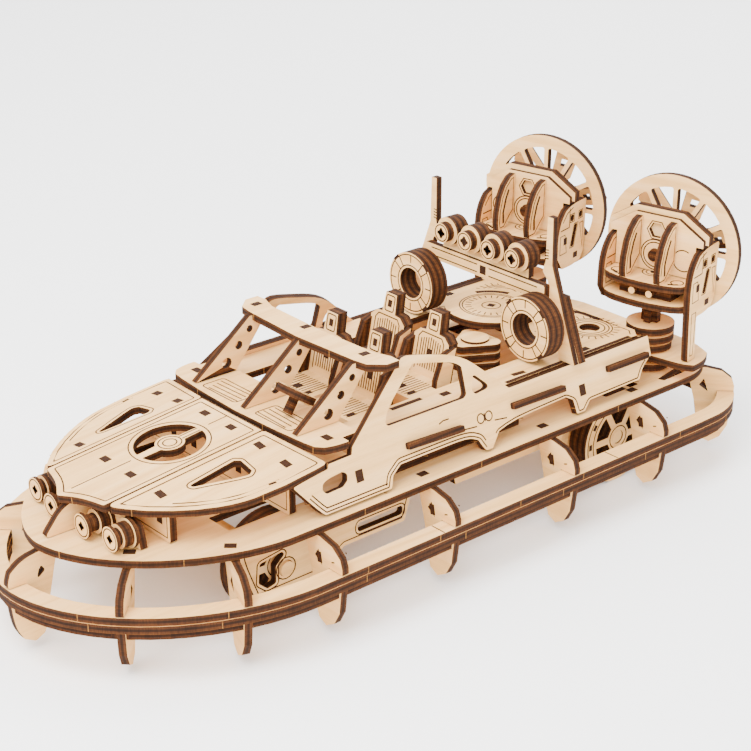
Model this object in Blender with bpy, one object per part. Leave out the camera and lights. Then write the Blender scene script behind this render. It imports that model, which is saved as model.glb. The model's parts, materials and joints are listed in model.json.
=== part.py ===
"""Laser-cut plywood model kit of a twin-fan hovercraft, standing on its four wheels.

Lengths below are millimetres unless a name says otherwise; +X is the bow, +Y port, +Z up.
The origin is on the ground under the middle of the model.
Outlines of plates that stand fore and aft list x and z, level plates x and y, and plates
that stand across the hull y and z.
"""
import math

import bmesh
import bpy
from mathutils import Vector
from mathutils.geometry import tessellate_polygon

MM = 0.001
PLY = 3.0
FIT = 0.3
BIRCH = (0.83, 0.65, 0.44)

# Skirt ring, ribs and deck
SKIRT_HALF = 70.6
SKIRT_TOP = 27.2
SKIRT_WIDTH = 7.5
SKIRT_BOW_START = 82.9
SKIRT_BOW_LENGTH = 86.3
SKIRT_POWER = 1.89
SKIRT_STERN = -169.2
SKIRT_CORNER = 40.0
SKIRT_SPLIT_X = -14.0
LOWER_RING_INSET = 2.0
STEM_GAP = 1.8
RIB_SIDE_X = (73.0, 18.0, -46.4, -99.4)
RIB_BOW_TURNS = (38.0, 68.75)
RIB_STERN_TURNS = (135.0,)
# distance from the skirt's edge and height: the upper part is measured from the deck's underside
RIB_UPPER = ((-21.3, 0.0), (-13.0, 0.0), (-6.0, -1.5), (-1.5, -5.0), (-0.3, -8.5))
RIB_FOOT = [(-2.0, 11.0), (-5.0, 5.5), (-9.5, 3.0), (-13.5, 5.0), (-15.0, 10.0), (-17.0, 22.0)]
RIB_HOLE = [(-15.5, 30.0), (-11.5, 27.0), (-13.5, 33.0)]
DECK_HALF = 57.0
DECK_TOP = 41.6
DECK_BOW_START = 85.0
DECK_BOW_LENGTH = 71.3
DECK_POWER = 1.76
DECK_STERN = -157.0
DECK_CORNER = 30.0
DECK_WHEEL_HOLES = ((56.0, 26.0, 100.0, 38.6), (-106.0, 37.8, -86.0, 48.3))
STERN_OPENING = [(-116.0, 50.0), (-138.0, 46.0), (-142.0, 49.0), (-132.0, 52.5), (-117.0, 53.0)]
STEM_OUTLINE = [(134.0, 41.9), (153.0, 41.9), (149.0, 47.0), (145.2, 51.0), (140.0, 53.0), (134.0, 53.0)]

# Wheels and the plates that carry them
WHEEL_RADIUS = 20.0
# x, inner face, outer face and end of the axle
FRONT_WHEELS = (78.0, 29.0, 38.0, 43.5)
REAR_WHEELS = (-96.0, 38.5, 47.5, 47.0)
WHEEL_SPOKES = 6
WHEEL_FIT = 0.05
AXLE_RADIUS = 3.0
AXLE_HOLE = 3.3
HULL_FRONT_Y = 42.5
HULL_REAR_Y = 37.3
HULL_SIDE_TOP = DECK_TOP - PLY - FIT
HULL_FRONT_OUTLINE = [(99.0, HULL_SIDE_TOP), (99.0, 30.0), (92.0, 12.0), (62.0, 12.0), (50.0, 19.0),
                      (20.0, 19.0), (14.0, HULL_SIDE_TOP)]
HULL_FRONT_HOLES = [[(92.5, 33.0), (84.5, 33.0), (82.0, 30.0), (82.0, 25.0), (86.0, 25.0), (91.0, 28.0)],
                    [(46.0, 32.0), (24.0, 32.0), (24.0, 30.0), (46.0, 30.0)],
                    [(46.0, 26.5), (24.0, 26.5), (24.0, 24.5), (46.0, 24.5)]]
HULL_REAR_OUTLINE = [(-60.0, HULL_SIDE_TOP), (-70.0, 14.0), (-120.0, 14.0), (-128.0, HULL_SIDE_TOP)]

# Hood
HOOD_Z = 63.7
HOOD_Z_X = 75.6
HOOD_SLOPE = 0.105
HOOD_SIDE_SLOPE = 0.145
HOOD_CENTRE_HALF = 19.1
HOOD_CENTRE = [(69.0, -18.9), (69.0, 18.9), (138.5, 18.9), (141.0, 8.0), (146.0, 0.0), (141.0, -8.0),
               (138.5, -18.9)]
HOOD_PORT = [(63.5, 49.2), (69.0, 19.3), (138.5, 19.3), (129.5, 30.5), (115.0, 41.5), (102.0, 47.5),
             (90.0, 49.4), (76.5, 49.8)]

# Body sides and cabin
# the side plates lean inwards: port side of the outer face at deck height, and its lean per height
BODY_Y = 54.0
BODY_LEAN = 0.3
BODY_OUTLINE = [(79.6, 55.0), (70.0, 43.6), (67.9, 42.0), (36.3, 42.0), (34.6, 46.3), (30.1, 49.2),
                (-4.2, 49.2), (-9.2, 46.9), (-11.4, 43.1), (-12.6, 42.0), (-15.8, 42.0), (-20.4, 47.2),
                (-29.0, 49.1), (-58.5, 49.9), (-62.2, 47.9), (-63.1, 42.0), (-67.6, 42.0), (-71.5, 45.4),
                (-101.4, 45.7), (-104.6, 50.2), (-110.4, 53.4), (-110.4, 61.4), (-29.3, 61.4),
                (-20.1, 69.5), (-7.7, 79.8), (17.4, 86.2), (20.7, 85.8), (50.7, 61.4), (51.5, 58.9),
                (62.6, 58.7), (63.2, 57.2), (78.6, 55.5)]
BODY_WINDOW = [(15.8, 82.5), (-3.5, 78.3), (-7.4, 75.4), (-7.4, 64.8), (-5.7, 63.8), (32.8, 64.0),
               (33.7, 65.4), (31.4, 70.1)]
BODY_QUARTER_WINDOW = [(-12.0, 71.7), (-20.3, 64.4), (-12.0, 63.7), (-10.5, 65.1)]
BODY_OVAL = [(65.8, 48.9), (67.5, 50.6), (66.7, 52.8), (64.0, 53.9), (57.2, 54.4), (55.1, 53.1),
             (55.7, 50.7), (58.1, 49.2)]
# front x, front z, rear x, rear z of each strip's upper edge
RUB_STRIPS = ((26.3, 57.4, -1.8, 56.3), (-28.5, 57.2, -57.5, 56.6), (-83.0, 57.3, -107.4, 57.1))
RUB_STRIP_HEIGHT = 2.5
RUB_STRIP_PROUD = 2.2
DASH_TOP = 65.0
DASH_HALF = [(44.0, 43.5), (51.8, 43.5), (51.8, 47.6), (58.0, 47.2), (62.0, 45.8), (64.4, 43.0),
             (66.0, 32.0), (67.3, 0.3)]
PILLAR_X = 53.6
PILLAR_LEAN = 1.0
# height and radius
PILLAR_HOLES = ((69.5, 2.3), (75.5, 1.8), (81.0, 1.5))
ROOF_TOP = 87.2
ROOF_FRONT = [(29.5, -42.6), (35.0, -37.6), (36.0, -31.6), (37.8, 0.0), (36.0, 31.6), (35.0, 37.6), (29.5, 42.6)]
ROOF_REAR = [(23.4, 42.6), (23.2, 37.6), (25.8, 30.0), (26.8, 0.0), (25.8, -30.0), (23.2, -37.6), (23.4, -42.6)]
CABIN_FLOOR_TOP = DECK_TOP + FIT + PLY
# row name and x of the seat back's foot
SEAT_ROWS = (("front", 13.0), ("rear", -18.0))
SEAT_Y = 13.2
SEAT_HALF = 12.0
SEAT_TOP = 59.0
SEAT_LEAN = 0.2

# Arch with lifebuoys and searchlights
ARCH_X = -62.0
# y and z
ARCH_POST = [(41.5, 62.5), (50.0, 62.5), (35.6, 101.0), (35.2, 120.6), (32.2, 120.6), (32.0, 102.0), (30.6, 97.5),
             (33.6, 94.0)]
ARCH_BRACE = [(39.0, 78.0), (44.8, 62.5), (50.2, 62.5), (40.0, 88.0), (36.5, 88.0)]
BUOY_Y = 33.8
BUOY_Z = 76.6
BUOY_RADIUS = 13.4
SEARCHLIGHT_Y = (-20.6, -6.8, 6.8, 20.6)
SEARCHLIGHT_Z = 101.4

# Stern deck
UPPER_DECK_TOP = 62.2
UPPER_DECK_HALF = [(-111.0, 0.3), (-111.0, 40.0), (-107.0, 44.6), (43.0, 44.6), (43.0, 30.0), (-66.0, 30.0),
                   (-72.0, 26.0), (-72.0, 0.3)]
COVER_X = -79.0
COVER_Y = -13.0
COVER_RADIUS = 20.0
WINCH_X = -57.0

# Fans on turning nacelles: places below are measured from the pylon along the nacelle
PYLON_X = -124.0
PYLON_Y = 37.5
PYLON_HALF = 3.8
NACELLE_TURN = 12.9
NACELLE_HALF = 21.8
LOWER_FLOOR_TOP = 75.5
UPPER_FLOOR_TOP = 84.2
FLOOR_AHEAD = 13.5
# bottom and radius
PYLON_DISCS = ((42.5, 9.0), (51.2, 9.5), (55.2, 10.2), (59.2, 10.2))
FIN_Y = 8.0
FIN_OUTLINE = [(0.3, 91.0), (4.0, 88.2), (9.0, 83.5), (12.6, 83.5), (13.4, 88.0), (13.0, 93.0), (11.0, 99.5),
               (8.0, 104.0), (4.0, 107.0), (0.3, 107.8)]
# distance to port and height of the port half
NACELLE_BACK = [(18.4, 84.6), (18.4, 98.9), (21.6, 98.9), (21.6, 101.8), (10.0, 109.0)]
NACELLE_REAR = [(17.2, 86.0), (17.2, 99.9), (23.0, 99.9), (23.0, 103.8), (11.0, 111.3)]
# distance ahead and height
NACELLE_SIDE = [(-4.0, 69.4), (-10.5, 70.4), (-13.8, 74.0), (-14.4, 98.4), (-3.0, 98.4), (2.6, 96.6),
                (6.6, 92.5), (8.8, 86.0)]
NACELLE_LEG = [(8.8, 74.0), (7.0, 50.8), (1.0, 50.8), (1.8, 69.8)]
NACELLE_FRONT_FOOT = [(8.8, 76.0), (4.5, 70.0)]
NACELLE_SIDE_HOLES = [[(-1.5, 93.5), (-4.2, 93.5), (-4.2, 90.5), (-1.5, 90.5)],
                      [(-8.6, 93.5), (-11.3, 93.5), (-11.3, 90.5), (-8.6, 90.5)],
                      [(-5.0, 88.5), (-7.5, 88.5), (-4.5, 78.5), (-2.0, 78.5)]]
ARM_TOP = 50.5
ARM_OUTLINE = [(3.0, -10.0), (8.5, -6.0), (8.5, 6.0), (9.5, 20.0), (7.5, 25.0), (0.0, 26.0), (-8.0, 23.5),
               (-15.0, 14.0), (-18.0, 2.0), (-13.0, -8.0), (-5.0, -10.5)]
FAN_Z = 91.8
FAN_RADIUS = 30.8
FAN_SHAFT = 2.5
FAN_SHAFT_HOLE = 2.8
GUARD_AHEAD = -14.8
SPOKES = 12
ROTOR_AHEAD = -23.4
BLADES = 6
BLADE_START = 14.0
BLADE_TWIST = 25.0
BLADE_OUTLINE = [(4.6, -1.6), (8.5, -2.0), (12.0, -4.4), (24.5, -5.0), (26.0, -3.4), (26.0, 3.4),
                 (24.5, 5.0), (12.0, 4.4), (8.5, 2.0), (4.6, 1.6)]


# Shapes

class Shape:
    """Closed solids gathered for one named piece, in millimetres."""

    def __init__(self):
        self.verts = []
        self.faces = []

    def prism(self, outline, holes, place, near, far):
        """Extrude an outline with holes; place(u, v, w) gives a point, w runs near to far."""
        loops = [outline] + list(holes)
        flat = [point for loop in loops for point in loop]
        start = len(self.verts)
        count = len(flat)
        self.verts += [place(u, v, near) for u, v in flat]
        self.verts += [place(u, v, far) for u, v in flat]
        for a, b, c in tessellate_polygon([[Vector((u, v, 0.0)) for u, v in loop] for loop in loops]):
            self.faces.append((start + a, start + b, start + c))
            self.faces.append((start + count + a, start + count + b, start + count + c))
        first = start
        for loop in loops:
            for i in range(len(loop)):
                here = first + i
                following = first + (i + 1) % len(loop)
                self.faces.append((here, following, count + following, count + here))
            first += len(loop)

    def flat(self, outline, bottom, top, holes=()):
        """Plate lying level, outline in x and y."""
        self.prism(outline, holes, lambda x, y, z: (x, y, z), bottom, top)

    def across(self, outline, back, front, holes=()):
        """Plate standing across the hull, outline in y and z."""
        self.prism(outline, holes, lambda y, z, x: (x, y, z), back, front)

    def along(self, outline, inner, outer, holes=()):
        """Plate standing fore and aft, outline in x and z."""
        self.prism(outline, holes, lambda x, z, y: (x, y, z), inner, outer)


def arc(centre_u, centre_v, radius, start, end, steps):
    """Points on an arc from start to end degrees, both ends included."""
    points = []
    for i in range(steps + 1):
        angle = math.radians(start + (end - start) * i / steps)
        points.append((centre_u + radius * math.cos(angle), centre_v + radius * math.sin(angle)))
    return points


def circle(centre_u, centre_v, radius, steps):
    return arc(centre_u, centre_v, radius, 0.0, 360.0 * (steps - 1) / steps, steps - 1)


def box(u0, v0, u1, v1):
    return [(u0, v0), (u1, v0), (u1, v1), (u0, v1)]


def spoke_window(centre_u, centre_v, inner, outer, start, pitch, half_spoke):
    """Opening between two spokes of even width, start and pitch in degrees."""
    points = []
    for radius, steps, forward in ((inner, 1, True), (outer, 4, False)):
        lean = math.degrees(math.asin(half_spoke / radius))
        row = arc(centre_u, centre_v, radius, start + lean, start + pitch - lean, steps)
        points += row if forward else row[::-1]
    return points


def mirrored(points):
    """The same outline on the other side of the centre line."""
    return [(u, -v) for u, v in points]


def both_halves(port):
    """Whole outline in distance to port and height, from its port half."""
    return port + [(-u, v) for u, v in reversed(port)]


def bow_curve(start, length, half, power, steps):
    """Half outline of a rounded bow, from the port side to the tip."""
    points = []
    for i in range(steps + 1):
        angle = math.pi / 2.0 * (1.0 - i / steps)
        u = start + length * max(math.cos(angle), 0.0) ** (2.0 / power)
        v = half * math.sin(angle) ** (2.0 / power)
        points.append((u, v))
    return points


def hull_outline(start, length, half, power, stern, corner, inset=0.0):
    """Whole plan outline: curved bow, straight sides, rounded stern corners."""
    port = arc(stern + corner, half - corner, corner - inset, 180.0, 90.0, 8)
    port += bow_curve(start, length - inset, half - inset, power, 18)
    port = [point for point in port if point[1] > 0.01]
    tip = (start + length - inset, 0.0)
    return port + [tip] + [(u, -v) for u, v in reversed(port)]


# Objects

def birch_material(name):
    made = bpy.data.materials.new(name)
    made.use_nodes = True
    shader = made.node_tree.nodes["Principled BSDF"]
    shader.inputs["Base Color"].default_value = (*BIRCH, 1.0)
    shader.inputs["Roughness"].default_value = 0.75
    shader.inputs["Metallic"].default_value = 0.0
    return made


def shape_mesh(name, shape, origin):
    """Mesh of a shape with all faces turned outwards."""
    mesh = bpy.data.meshes.new(name)
    mesh.from_pydata([(Vector(v) - origin) * MM for v in shape.verts], [], shape.faces)
    editable = bmesh.new()
    editable.from_mesh(mesh)
    bmesh.ops.recalc_face_normals(editable, faces=editable.faces)
    editable.to_mesh(mesh)
    editable.free()
    mesh.update()
    return mesh


def make_object(name, shape, origin=(0.0, 0.0, 0.0), round_piece=False, joined=(), pivot=None,
                solver="EXACT"):
    """One piece from a solid, with other solids joined to it, set on a pivot or in the world."""
    origin = Vector(origin)
    thing = place_mesh(name, shape, origin, pivot)
    thing.data.materials.append(birch_material(name + "_wood"))
    for number, tool_shape in enumerate(joined):
        tool = place_mesh("%s_joined_%d" % (name, number), tool_shape, origin, pivot)
        tool.hide_render = True
        tool.display_type = "WIRE"
        change = thing.modifiers.new(tool.name, "BOOLEAN")
        change.operation = "UNION"
        change.solver = solver
        change.object = tool
    if round_piece:
        smooth(thing)


def place_mesh(name, shape, origin, pivot):
    thing = bpy.data.objects.new(name, shape_mesh(name, shape, origin))
    thing.location = origin * MM
    thing.parent = pivot
    bpy.context.collection.objects.link(thing)
    return thing


def turning_pivot(name, x, y, turn):
    """Empty on an upright axis, turned by degrees."""
    pivot = bpy.data.objects.new(name, None)
    pivot.location = (x * MM, y * MM, 0.0)
    pivot.rotation_euler = (0.0, 0.0, math.radians(turn))
    bpy.context.collection.objects.link(pivot)
    return pivot


def smooth(thing):
    for polygon in thing.data.polygons:
        polygon.use_smooth = True
    thing.data.set_sharp_from_angle(angle=math.radians(40.0))


# Skirt, deck and ribs

def skirt_outline(inset=0.0):
    return hull_outline(SKIRT_BOW_START, SKIRT_BOW_LENGTH, SKIRT_HALF, SKIRT_POWER,
                        SKIRT_STERN, SKIRT_CORNER, inset)


def ring_quarter(inset, forward):
    """Port edge of the lower ring, from amidships forward or from the stern to amidships."""
    whole = skirt_outline(inset)
    port = whole[:(len(whole) + 1) // 2]
    half = SKIRT_HALF - inset
    if forward:
        points = [(SKIRT_SPLIT_X + FIT / 2, half)] + [p for p in port if p[0] > SKIRT_SPLIT_X]
        points[-1] = (points[-1][0], STEM_GAP)
    else:
        points = [p for p in port if p[0] < SKIRT_SPLIT_X] + [(SKIRT_SPLIT_X - FIT / 2, half)]
        points.insert(0, (points[0][0], FIT / 2))
    return points


def skirt():
    middle_top = SKIRT_TOP - PLY - FIT
    lower_top = middle_top - PLY - FIT
    for name, top in (("skirt_ring_upper", SKIRT_TOP), ("skirt_ring_middle", middle_top)):
        shape = Shape()
        shape.flat(skirt_outline(), top - PLY, top, [skirt_outline(SKIRT_WIDTH)])
        make_object(name, shape)
    for forward, end in ((True, "bow"), (False, "stern")):
        quarter = ring_quarter(LOWER_RING_INSET, forward) + ring_quarter(SKIRT_WIDTH, forward)[::-1]
        for side, word in ((1, "port"), (-1, "starboard")):
            shape = Shape()
            shape.flat([(x, side * y) for x, y in quarter], lower_top - PLY, lower_top)
            make_object("skirt_frame_%s_%s" % (end, word), shape, joined=[ribs(side, forward)])


def deck():
    outline = hull_outline(DECK_BOW_START, DECK_BOW_LENGTH, DECK_HALF, DECK_POWER,
                           DECK_STERN, DECK_CORNER)
    holes = [box(x0, side * y0, x1, side * y1) for side in (1, -1)
             for x0, y0, x1, y1 in DECK_WHEEL_HOLES]
    holes += [[(x, side * y) for x, y in STERN_OPENING] for side in (1, -1)]
    shape = Shape()
    shape.flat(outline, DECK_TOP - PLY, DECK_TOP, holes)
    make_object("deck_plate", shape)


def curve_spot(start, length, half, power, turn):
    """x, y and outward heading of a point on a bow curve, turn in degrees from the tip."""
    cos = math.cos(math.radians(turn))
    sin = math.sin(math.radians(turn))
    slope_x = cos ** (2.0 - 2.0 / power) / length
    slope_y = sin ** (2.0 - 2.0 / power) / half
    return (start + length * cos ** (2.0 / power), half * sin ** (2.0 / power),
            math.degrees(math.atan2(slope_y, slope_x)))


def rib_spots(forward):
    """x, y and heading of the port ribs, square to the skirt's edge."""
    spots = [(x, SKIRT_HALF, 90.0) for x in RIB_SIDE_X if (x > SKIRT_SPLIT_X) == forward]
    if forward:
        spots += [curve_spot(SKIRT_BOW_START, SKIRT_BOW_LENGTH, SKIRT_HALF, SKIRT_POWER, turn)
                  for turn in RIB_BOW_TURNS]
    else:
        spots += [(SKIRT_STERN + SKIRT_CORNER * (1.0 + math.cos(math.radians(turn))),
                   SKIRT_HALF - SKIRT_CORNER * (1.0 - math.sin(math.radians(turn))), turn)
                  for turn in RIB_STERN_TURNS]
    return spots


def rib_profile():
    """Rib outline in distance from the skirt's outer edge and height."""
    under_deck = DECK_TOP - PLY - FIT
    ring_bottom = SKIRT_TOP - 2 * PLY - FIT
    upper = [(s, under_deck + z) for s, z in RIB_UPPER]
    inner = -SKIRT_WIDTH - FIT
    notch = [(-0.3, SKIRT_TOP + FIT), (inner, SKIRT_TOP + FIT), (inner, ring_bottom - FIT),
             (-0.8, ring_bottom - FIT)]
    return upper + notch + RIB_FOOT


def rib_plate(shape, x, y, heading, side):
    out_x = math.cos(math.radians(heading))
    out_y = math.sin(math.radians(heading))

    def place(s, z, w):
        return (x + s * out_x - w * out_y, side * (y + s * out_y + w * out_x), z)

    shape.prism(rib_profile(), [RIB_HOLE], place, -PLY / 2, PLY / 2)


def ribs(side, forward):
    """The ribs of one quarter as one shape."""
    shape = Shape()
    for x, y, heading in rib_spots(forward):
        rib_plate(shape, x, y, heading, side)
    return shape


def stem():
    """Bow post on the deck, and the rib under it that carries the skirt's tip."""
    post = Shape()
    post.along(STEM_OUTLINE, -PLY / 2, PLY / 2)
    make_object("stem_plate", post)
    rib = Shape()
    rib_plate(rib, SKIRT_BOW_START + SKIRT_BOW_LENGTH, 0.0, 0.0, 1)
    make_object("stem_rib", rib)


# Hull sides and running gear

def hull_sides():
    tables = (("front", HULL_FRONT_Y, HULL_FRONT_OUTLINE, HULL_FRONT_HOLES, FRONT_WHEELS[0]),
              ("rear", HULL_REAR_Y, HULL_REAR_OUTLINE, [], REAR_WHEELS[0]))
    for side, word in ((1, "port"), (-1, "starboard")):
        for end, plate_y, outline, holes, wheel_x in tables:
            y = side * plate_y
            shape = Shape()
            shape.along(outline, y, y - side * PLY,
                        holes + [circle(wheel_x, WHEEL_RADIUS, AXLE_HOLE, 16)])
            make_object("hull_side_%s_%s" % (end, word), shape)


def wheel_set(name, x, inner, outer, axle_end):
    """Axle with a spoked wheel at each end, turning as one."""
    shape = Shape()
    shape.along(circle(x, WHEEL_RADIUS, AXLE_RADIUS, 16), -axle_end, axle_end)
    make_object(name + "_axle", shape, (x, 0.0, WHEEL_RADIUS), round_piece=True)
    for side, word in ((1, "port"), (-1, "starboard")):
        wheel = Shape()
        holes = [circle(x, WHEEL_RADIUS, AXLE_RADIUS + WHEEL_FIT, 16)]
        pitch = 360.0 / WHEEL_SPOKES
        holes += [spoke_window(x, WHEEL_RADIUS, 6.5, 13.5, pitch * i, pitch, 1.5)
                  for i in range(WHEEL_SPOKES)]
        wheel.along(circle(x, WHEEL_RADIUS, WHEEL_RADIUS, 40), side * inner, side * outer, holes)
        make_object("%s_wheel_%s" % (name, word), wheel, (x, 0.0, WHEEL_RADIUS), round_piece=True)


# Hood

def hood_height(x, y):
    fall = HOOD_SIDE_SLOPE * max(abs(y) - HOOD_CENTRE_HALF, 0.0)
    return HOOD_Z - HOOD_SLOPE * (x - HOOD_Z_X) - fall


def hood():
    def place(x, y, w):
        return (x, y, hood_height(x, y) + w)

    half_ring = arc(97.5, 0.0, 13.5, 6.0, 174.0, 12)
    openings = [half_ring, mirrored(half_ring)]
    triangle = [(108.0, 27.6), (87.0, 27.6), (87.0, 35.6)]
    for name, outline, holes in (("hood_centre", HOOD_CENTRE, openings),
                                 ("hood_port", HOOD_PORT, [triangle]),
                                 ("hood_starboard", mirrored(HOOD_PORT), [mirrored(triangle)])):
        shape = Shape()
        shape.prism(outline, holes, place, -PLY, 0.0)
        make_object(name, shape)


def hood_frames():
    for name, x, half in (("hood_frame_rear", 75.6, 44.0), ("hood_frame_front", 120.0, 33.0)):
        top = [(y, hood_height(x, y) - PLY - 2 * FIT) for y in
               (half, HOOD_CENTRE_HALF, -HOOD_CENTRE_HALF, -half)]
        shape = Shape()
        shape.across([(-half, DECK_TOP + FIT), (half, DECK_TOP + FIT)] + top, x - PLY / 2, x + PLY / 2)
        make_object(name, shape)


def bow_lamps():
    plate = Shape()
    plate.across([(-30.0, 41.9), (30.0, 41.9), (28.0, 50.0), (12.0, 54.5), (-12.0, 54.5), (-28.0, 50.0)],
                 129.0, 132.0)
    discs = Shape()
    for y in (-24.5, -10.0, 10.0, 24.5):
        discs.across(circle(y, 47.0, 4.6, 20), 131.5, 137.5)
    make_object("bow_lamps", plate, joined=[discs])


# Body sides and cabin

def body_sides():
    """Side plates leaning inwards, each with its rub strips."""
    holes = [BODY_WINDOW, BODY_QUARTER_WINDOW, BODY_OVAL]
    thickness = PLY * math.hypot(1.0, BODY_LEAN)
    for side, word in ((1, "port"), (-1, "starboard")):

        def place(x, z, w, side=side):
            return (x, side * (BODY_Y - BODY_LEAN * (z - DECK_TOP) + w), z)

        shape = Shape()
        shape.prism(BODY_OUTLINE, holes, place, -thickness, 0.0)
        strips = Shape()
        for front_x, front_z, rear_x, rear_z in RUB_STRIPS:
            strips.prism([(front_x, front_z), (rear_x, rear_z), (rear_x, rear_z - RUB_STRIP_HEIGHT),
                          (front_x, front_z - RUB_STRIP_HEIGHT)], [], place, -0.5, RUB_STRIP_PROUD)
        make_object("body_side_" + word, shape, joined=[strips], solver="MANIFOLD")


def cabin():
    shape = Shape()
    shape.flat(DASH_HALF + mirrored(DASH_HALF)[::-1], DASH_TOP - PLY, DASH_TOP)
    make_object("dash_plate", shape)

    outline = [(64.0, DASH_TOP + FIT), (37.4, ROOF_TOP - 1.0), (28.4, ROOF_TOP - 1.0),
               (44.5, DASH_TOP + FIT)]
    holes = [circle(PILLAR_X - PILLAR_LEAN * (z - DASH_TOP), z, radius, 12)
             for z, radius in PILLAR_HOLES]
    pillars = Shape()
    for y in (-31.0, 0.0, 31.0):
        pillars.along(outline, y - PLY / 2, y + PLY / 2, holes)
    roof = Shape()
    roof.flat(ROOF_FRONT + ROOF_REAR, ROOF_TOP - PLY, ROOF_TOP)
    make_object("windshield_frame", roof, joined=[pillars])

    floor = Shape()
    floor.flat(box(-40.0, -44.0, 60.0, 44.0), DECK_TOP + FIT, DECK_TOP + FIT + PLY)
    make_object("cabin_floor", floor)


def steering_wheel():
    """Wheel on a leaning column that stands on the dash."""
    foot = Vector((57.0, 17.0, DASH_TOP + FIT))
    lean = Vector((-0.55, 0.0, 0.835)).normalized()
    back = Vector((0.0, 1.0, 0.0)).cross(lean)

    def place(u, v, w):
        return foot + Vector((0.0, 1.0, 0.0)) * u + back * v + lean * w

    column = Shape()
    column.prism(circle(0.0, 0.0, 2.0, 12), [], place, 1.6, 9.0)
    rim = Shape()
    windows = [spoke_window(0.0, 0.0, 2.8, 5.6, 120.0 * i, 120.0, 1.0) for i in range(3)]
    rim.prism(circle(0.0, 0.0, 7.8, 28), windows, place, 8.0, 11.0)
    make_object("steering_wheel", rim, joined=[column])


def seats():
    """Seats in two rows, each with a cushion on a box, bolsters and a leaning back."""
    for row, x in SEAT_ROWS:
        for side, word in ((1, "port"), (-1, "starboard")):
            y = side * SEAT_Y

            def place(u, v, w, x=x, y=y):
                return (x + w - SEAT_LEAN * (v - SEAT_TOP), y + u, v)

            cushion = Shape()
            cushion.flat(box(x - 1.0, y - SEAT_HALF, x + 20.0, y + SEAT_HALF), CABIN_FLOOR_TOP + FIT, SEAT_TOP)
            back = Shape()
            back.prism([(-10.0, 50.0), (10.0, 50.0), (10.0, 74.5), (7.0, 77.0), (3.8, 77.3), (3.2, 85.3),
                        (-3.2, 85.3), (-3.8, 77.3), (-7.0, 77.0), (-10.0, 74.5)], [], place, -4.0, 1.0)
            bolsters = Shape()
            for start in (-SEAT_HALF - 0.2, SEAT_HALF - 2.8):
                bolsters.prism([(-1.0, 52.0), (5.0, 52.0), (6.5, 62.0), (4.5, 72.0), (-1.0, 74.0)], [],
                               lambda u, v, w, x=x, y=y: (x + u - SEAT_LEAN * (v - SEAT_TOP), y + w, v),
                               start, start + 3.0)
            make_object("seat_%s_%s" % (row, word), cushion, joined=[back, bolsters])


# Arch

def arch():
    bar = Shape()
    bar.across([(-35.0, 86.5), (35.0, 86.5), (35.0, 93.0), (-35.0, 93.0)], ARCH_X - PLY / 2, ARCH_X + PLY / 2)
    make_object("arch_crossbar", bar)
    for side, word in ((1, "port"), (-1, "starboard")):
        near = ARCH_X - PLY / 2 - FIT
        post = Shape()
        post.across([(side * y, z) for y, z in ARCH_POST], near - PLY, near)
        brace = Shape()
        brace.across([(side * y, z) for y, z in ARCH_BRACE], near - 2 * PLY - 0.5, near - PLY + 0.5)
        make_object("arch_post_" + word, post, joined=[brace])
        buoy = Shape()
        buoy.across(circle(side * BUOY_Y, BUOY_Z, BUOY_RADIUS, 32), ARCH_X + PLY / 2 + FIT,
                    ARCH_X + PLY / 2 + FIT + 3 * PLY, [circle(side * BUOY_Y, BUOY_Z, 6.7, 24)])
        make_object("lifebuoy_" + word, buoy, round_piece=True)


def searchlights():
    bar = Shape()
    bar.across(box(-25.0, 93.3, 25.0, 100.0), ARCH_X - 2.5, ARCH_X + 0.5)
    drums = Shape()
    for y in SEARCHLIGHT_Y:
        drums.across(circle(y, SEARCHLIGHT_Z, 6.0, 24), ARCH_X - 4.5, ARCH_X + 2.5)
    fronts = Shape()
    for y in SEARCHLIGHT_Y:
        fronts.across(circle(y, SEARCHLIGHT_Z, 4.2, 20), ARCH_X + 1.0, ARCH_X + 6.0)
    make_object("searchlights", bar, joined=[drums, fronts])


# Stern

def upper_deck():
    shape = Shape()
    shape.flat(UPPER_DECK_HALF + mirrored(UPPER_DECK_HALF)[::-1], UPPER_DECK_TOP - PLY, UPPER_DECK_TOP,
               [circle(-98.6, side * 26.0, 4.5, 16) for side in (1, -1)])
    make_object("upper_deck", shape)
    cover = Shape()
    cover.flat(circle(COVER_X, COVER_Y, COVER_RADIUS, 40), UPPER_DECK_TOP + FIT, UPPER_DECK_TOP + FIT + PLY)
    make_object("rear_cover", cover)


def winch():
    """Stack of rounded three-sided plates on a drum, ahead of the stern deck."""
    drum = Shape()
    drum.flat(circle(WINCH_X, 0.0, 6.0, 20), DECK_TOP + FIT, 61.0)
    plates = Shape()
    outline = []
    for turn in (0.0, 120.0, 240.0):
        corner_x = WINCH_X + 7.0 * math.cos(math.radians(turn))
        corner_y = 7.0 * math.sin(math.radians(turn))
        outline += arc(corner_x, corner_y, 4.0, turn - 50.0, turn + 50.0, 5)
    for bottom in (49.0, 53.0, 57.0):
        plates.flat(outline, bottom, bottom + PLY)
    make_object("winch_stack", drum, joined=[plates])


def nacelles():
    for side, word in ((1, "port"), (-1, "starboard")):
        pylon_base(word, side * PYLON_Y)
        pivot = turning_pivot("nacelle_pivot_" + word, PYLON_X, side * PYLON_Y, NACELLE_TURN)
        nacelle_floor(word, pivot)
        nacelle_plates(side, word, pivot)
        fan(word, pivot)


def pylon_base(word, centre_y):
    """Stack of discs on the deck, narrow where the steering arm goes round it."""
    drum = Shape()
    drum.flat(circle(PYLON_X, centre_y, 5.0, 24), DECK_TOP + FIT, UPPER_DECK_TOP - 0.5)
    discs = Shape()
    for bottom, radius in PYLON_DISCS:
        discs.flat(circle(PYLON_X, centre_y, radius, 32), bottom, bottom + PLY)
    make_object("pylon_base_" + word, drum, joined=[discs], round_piece=True)


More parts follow.
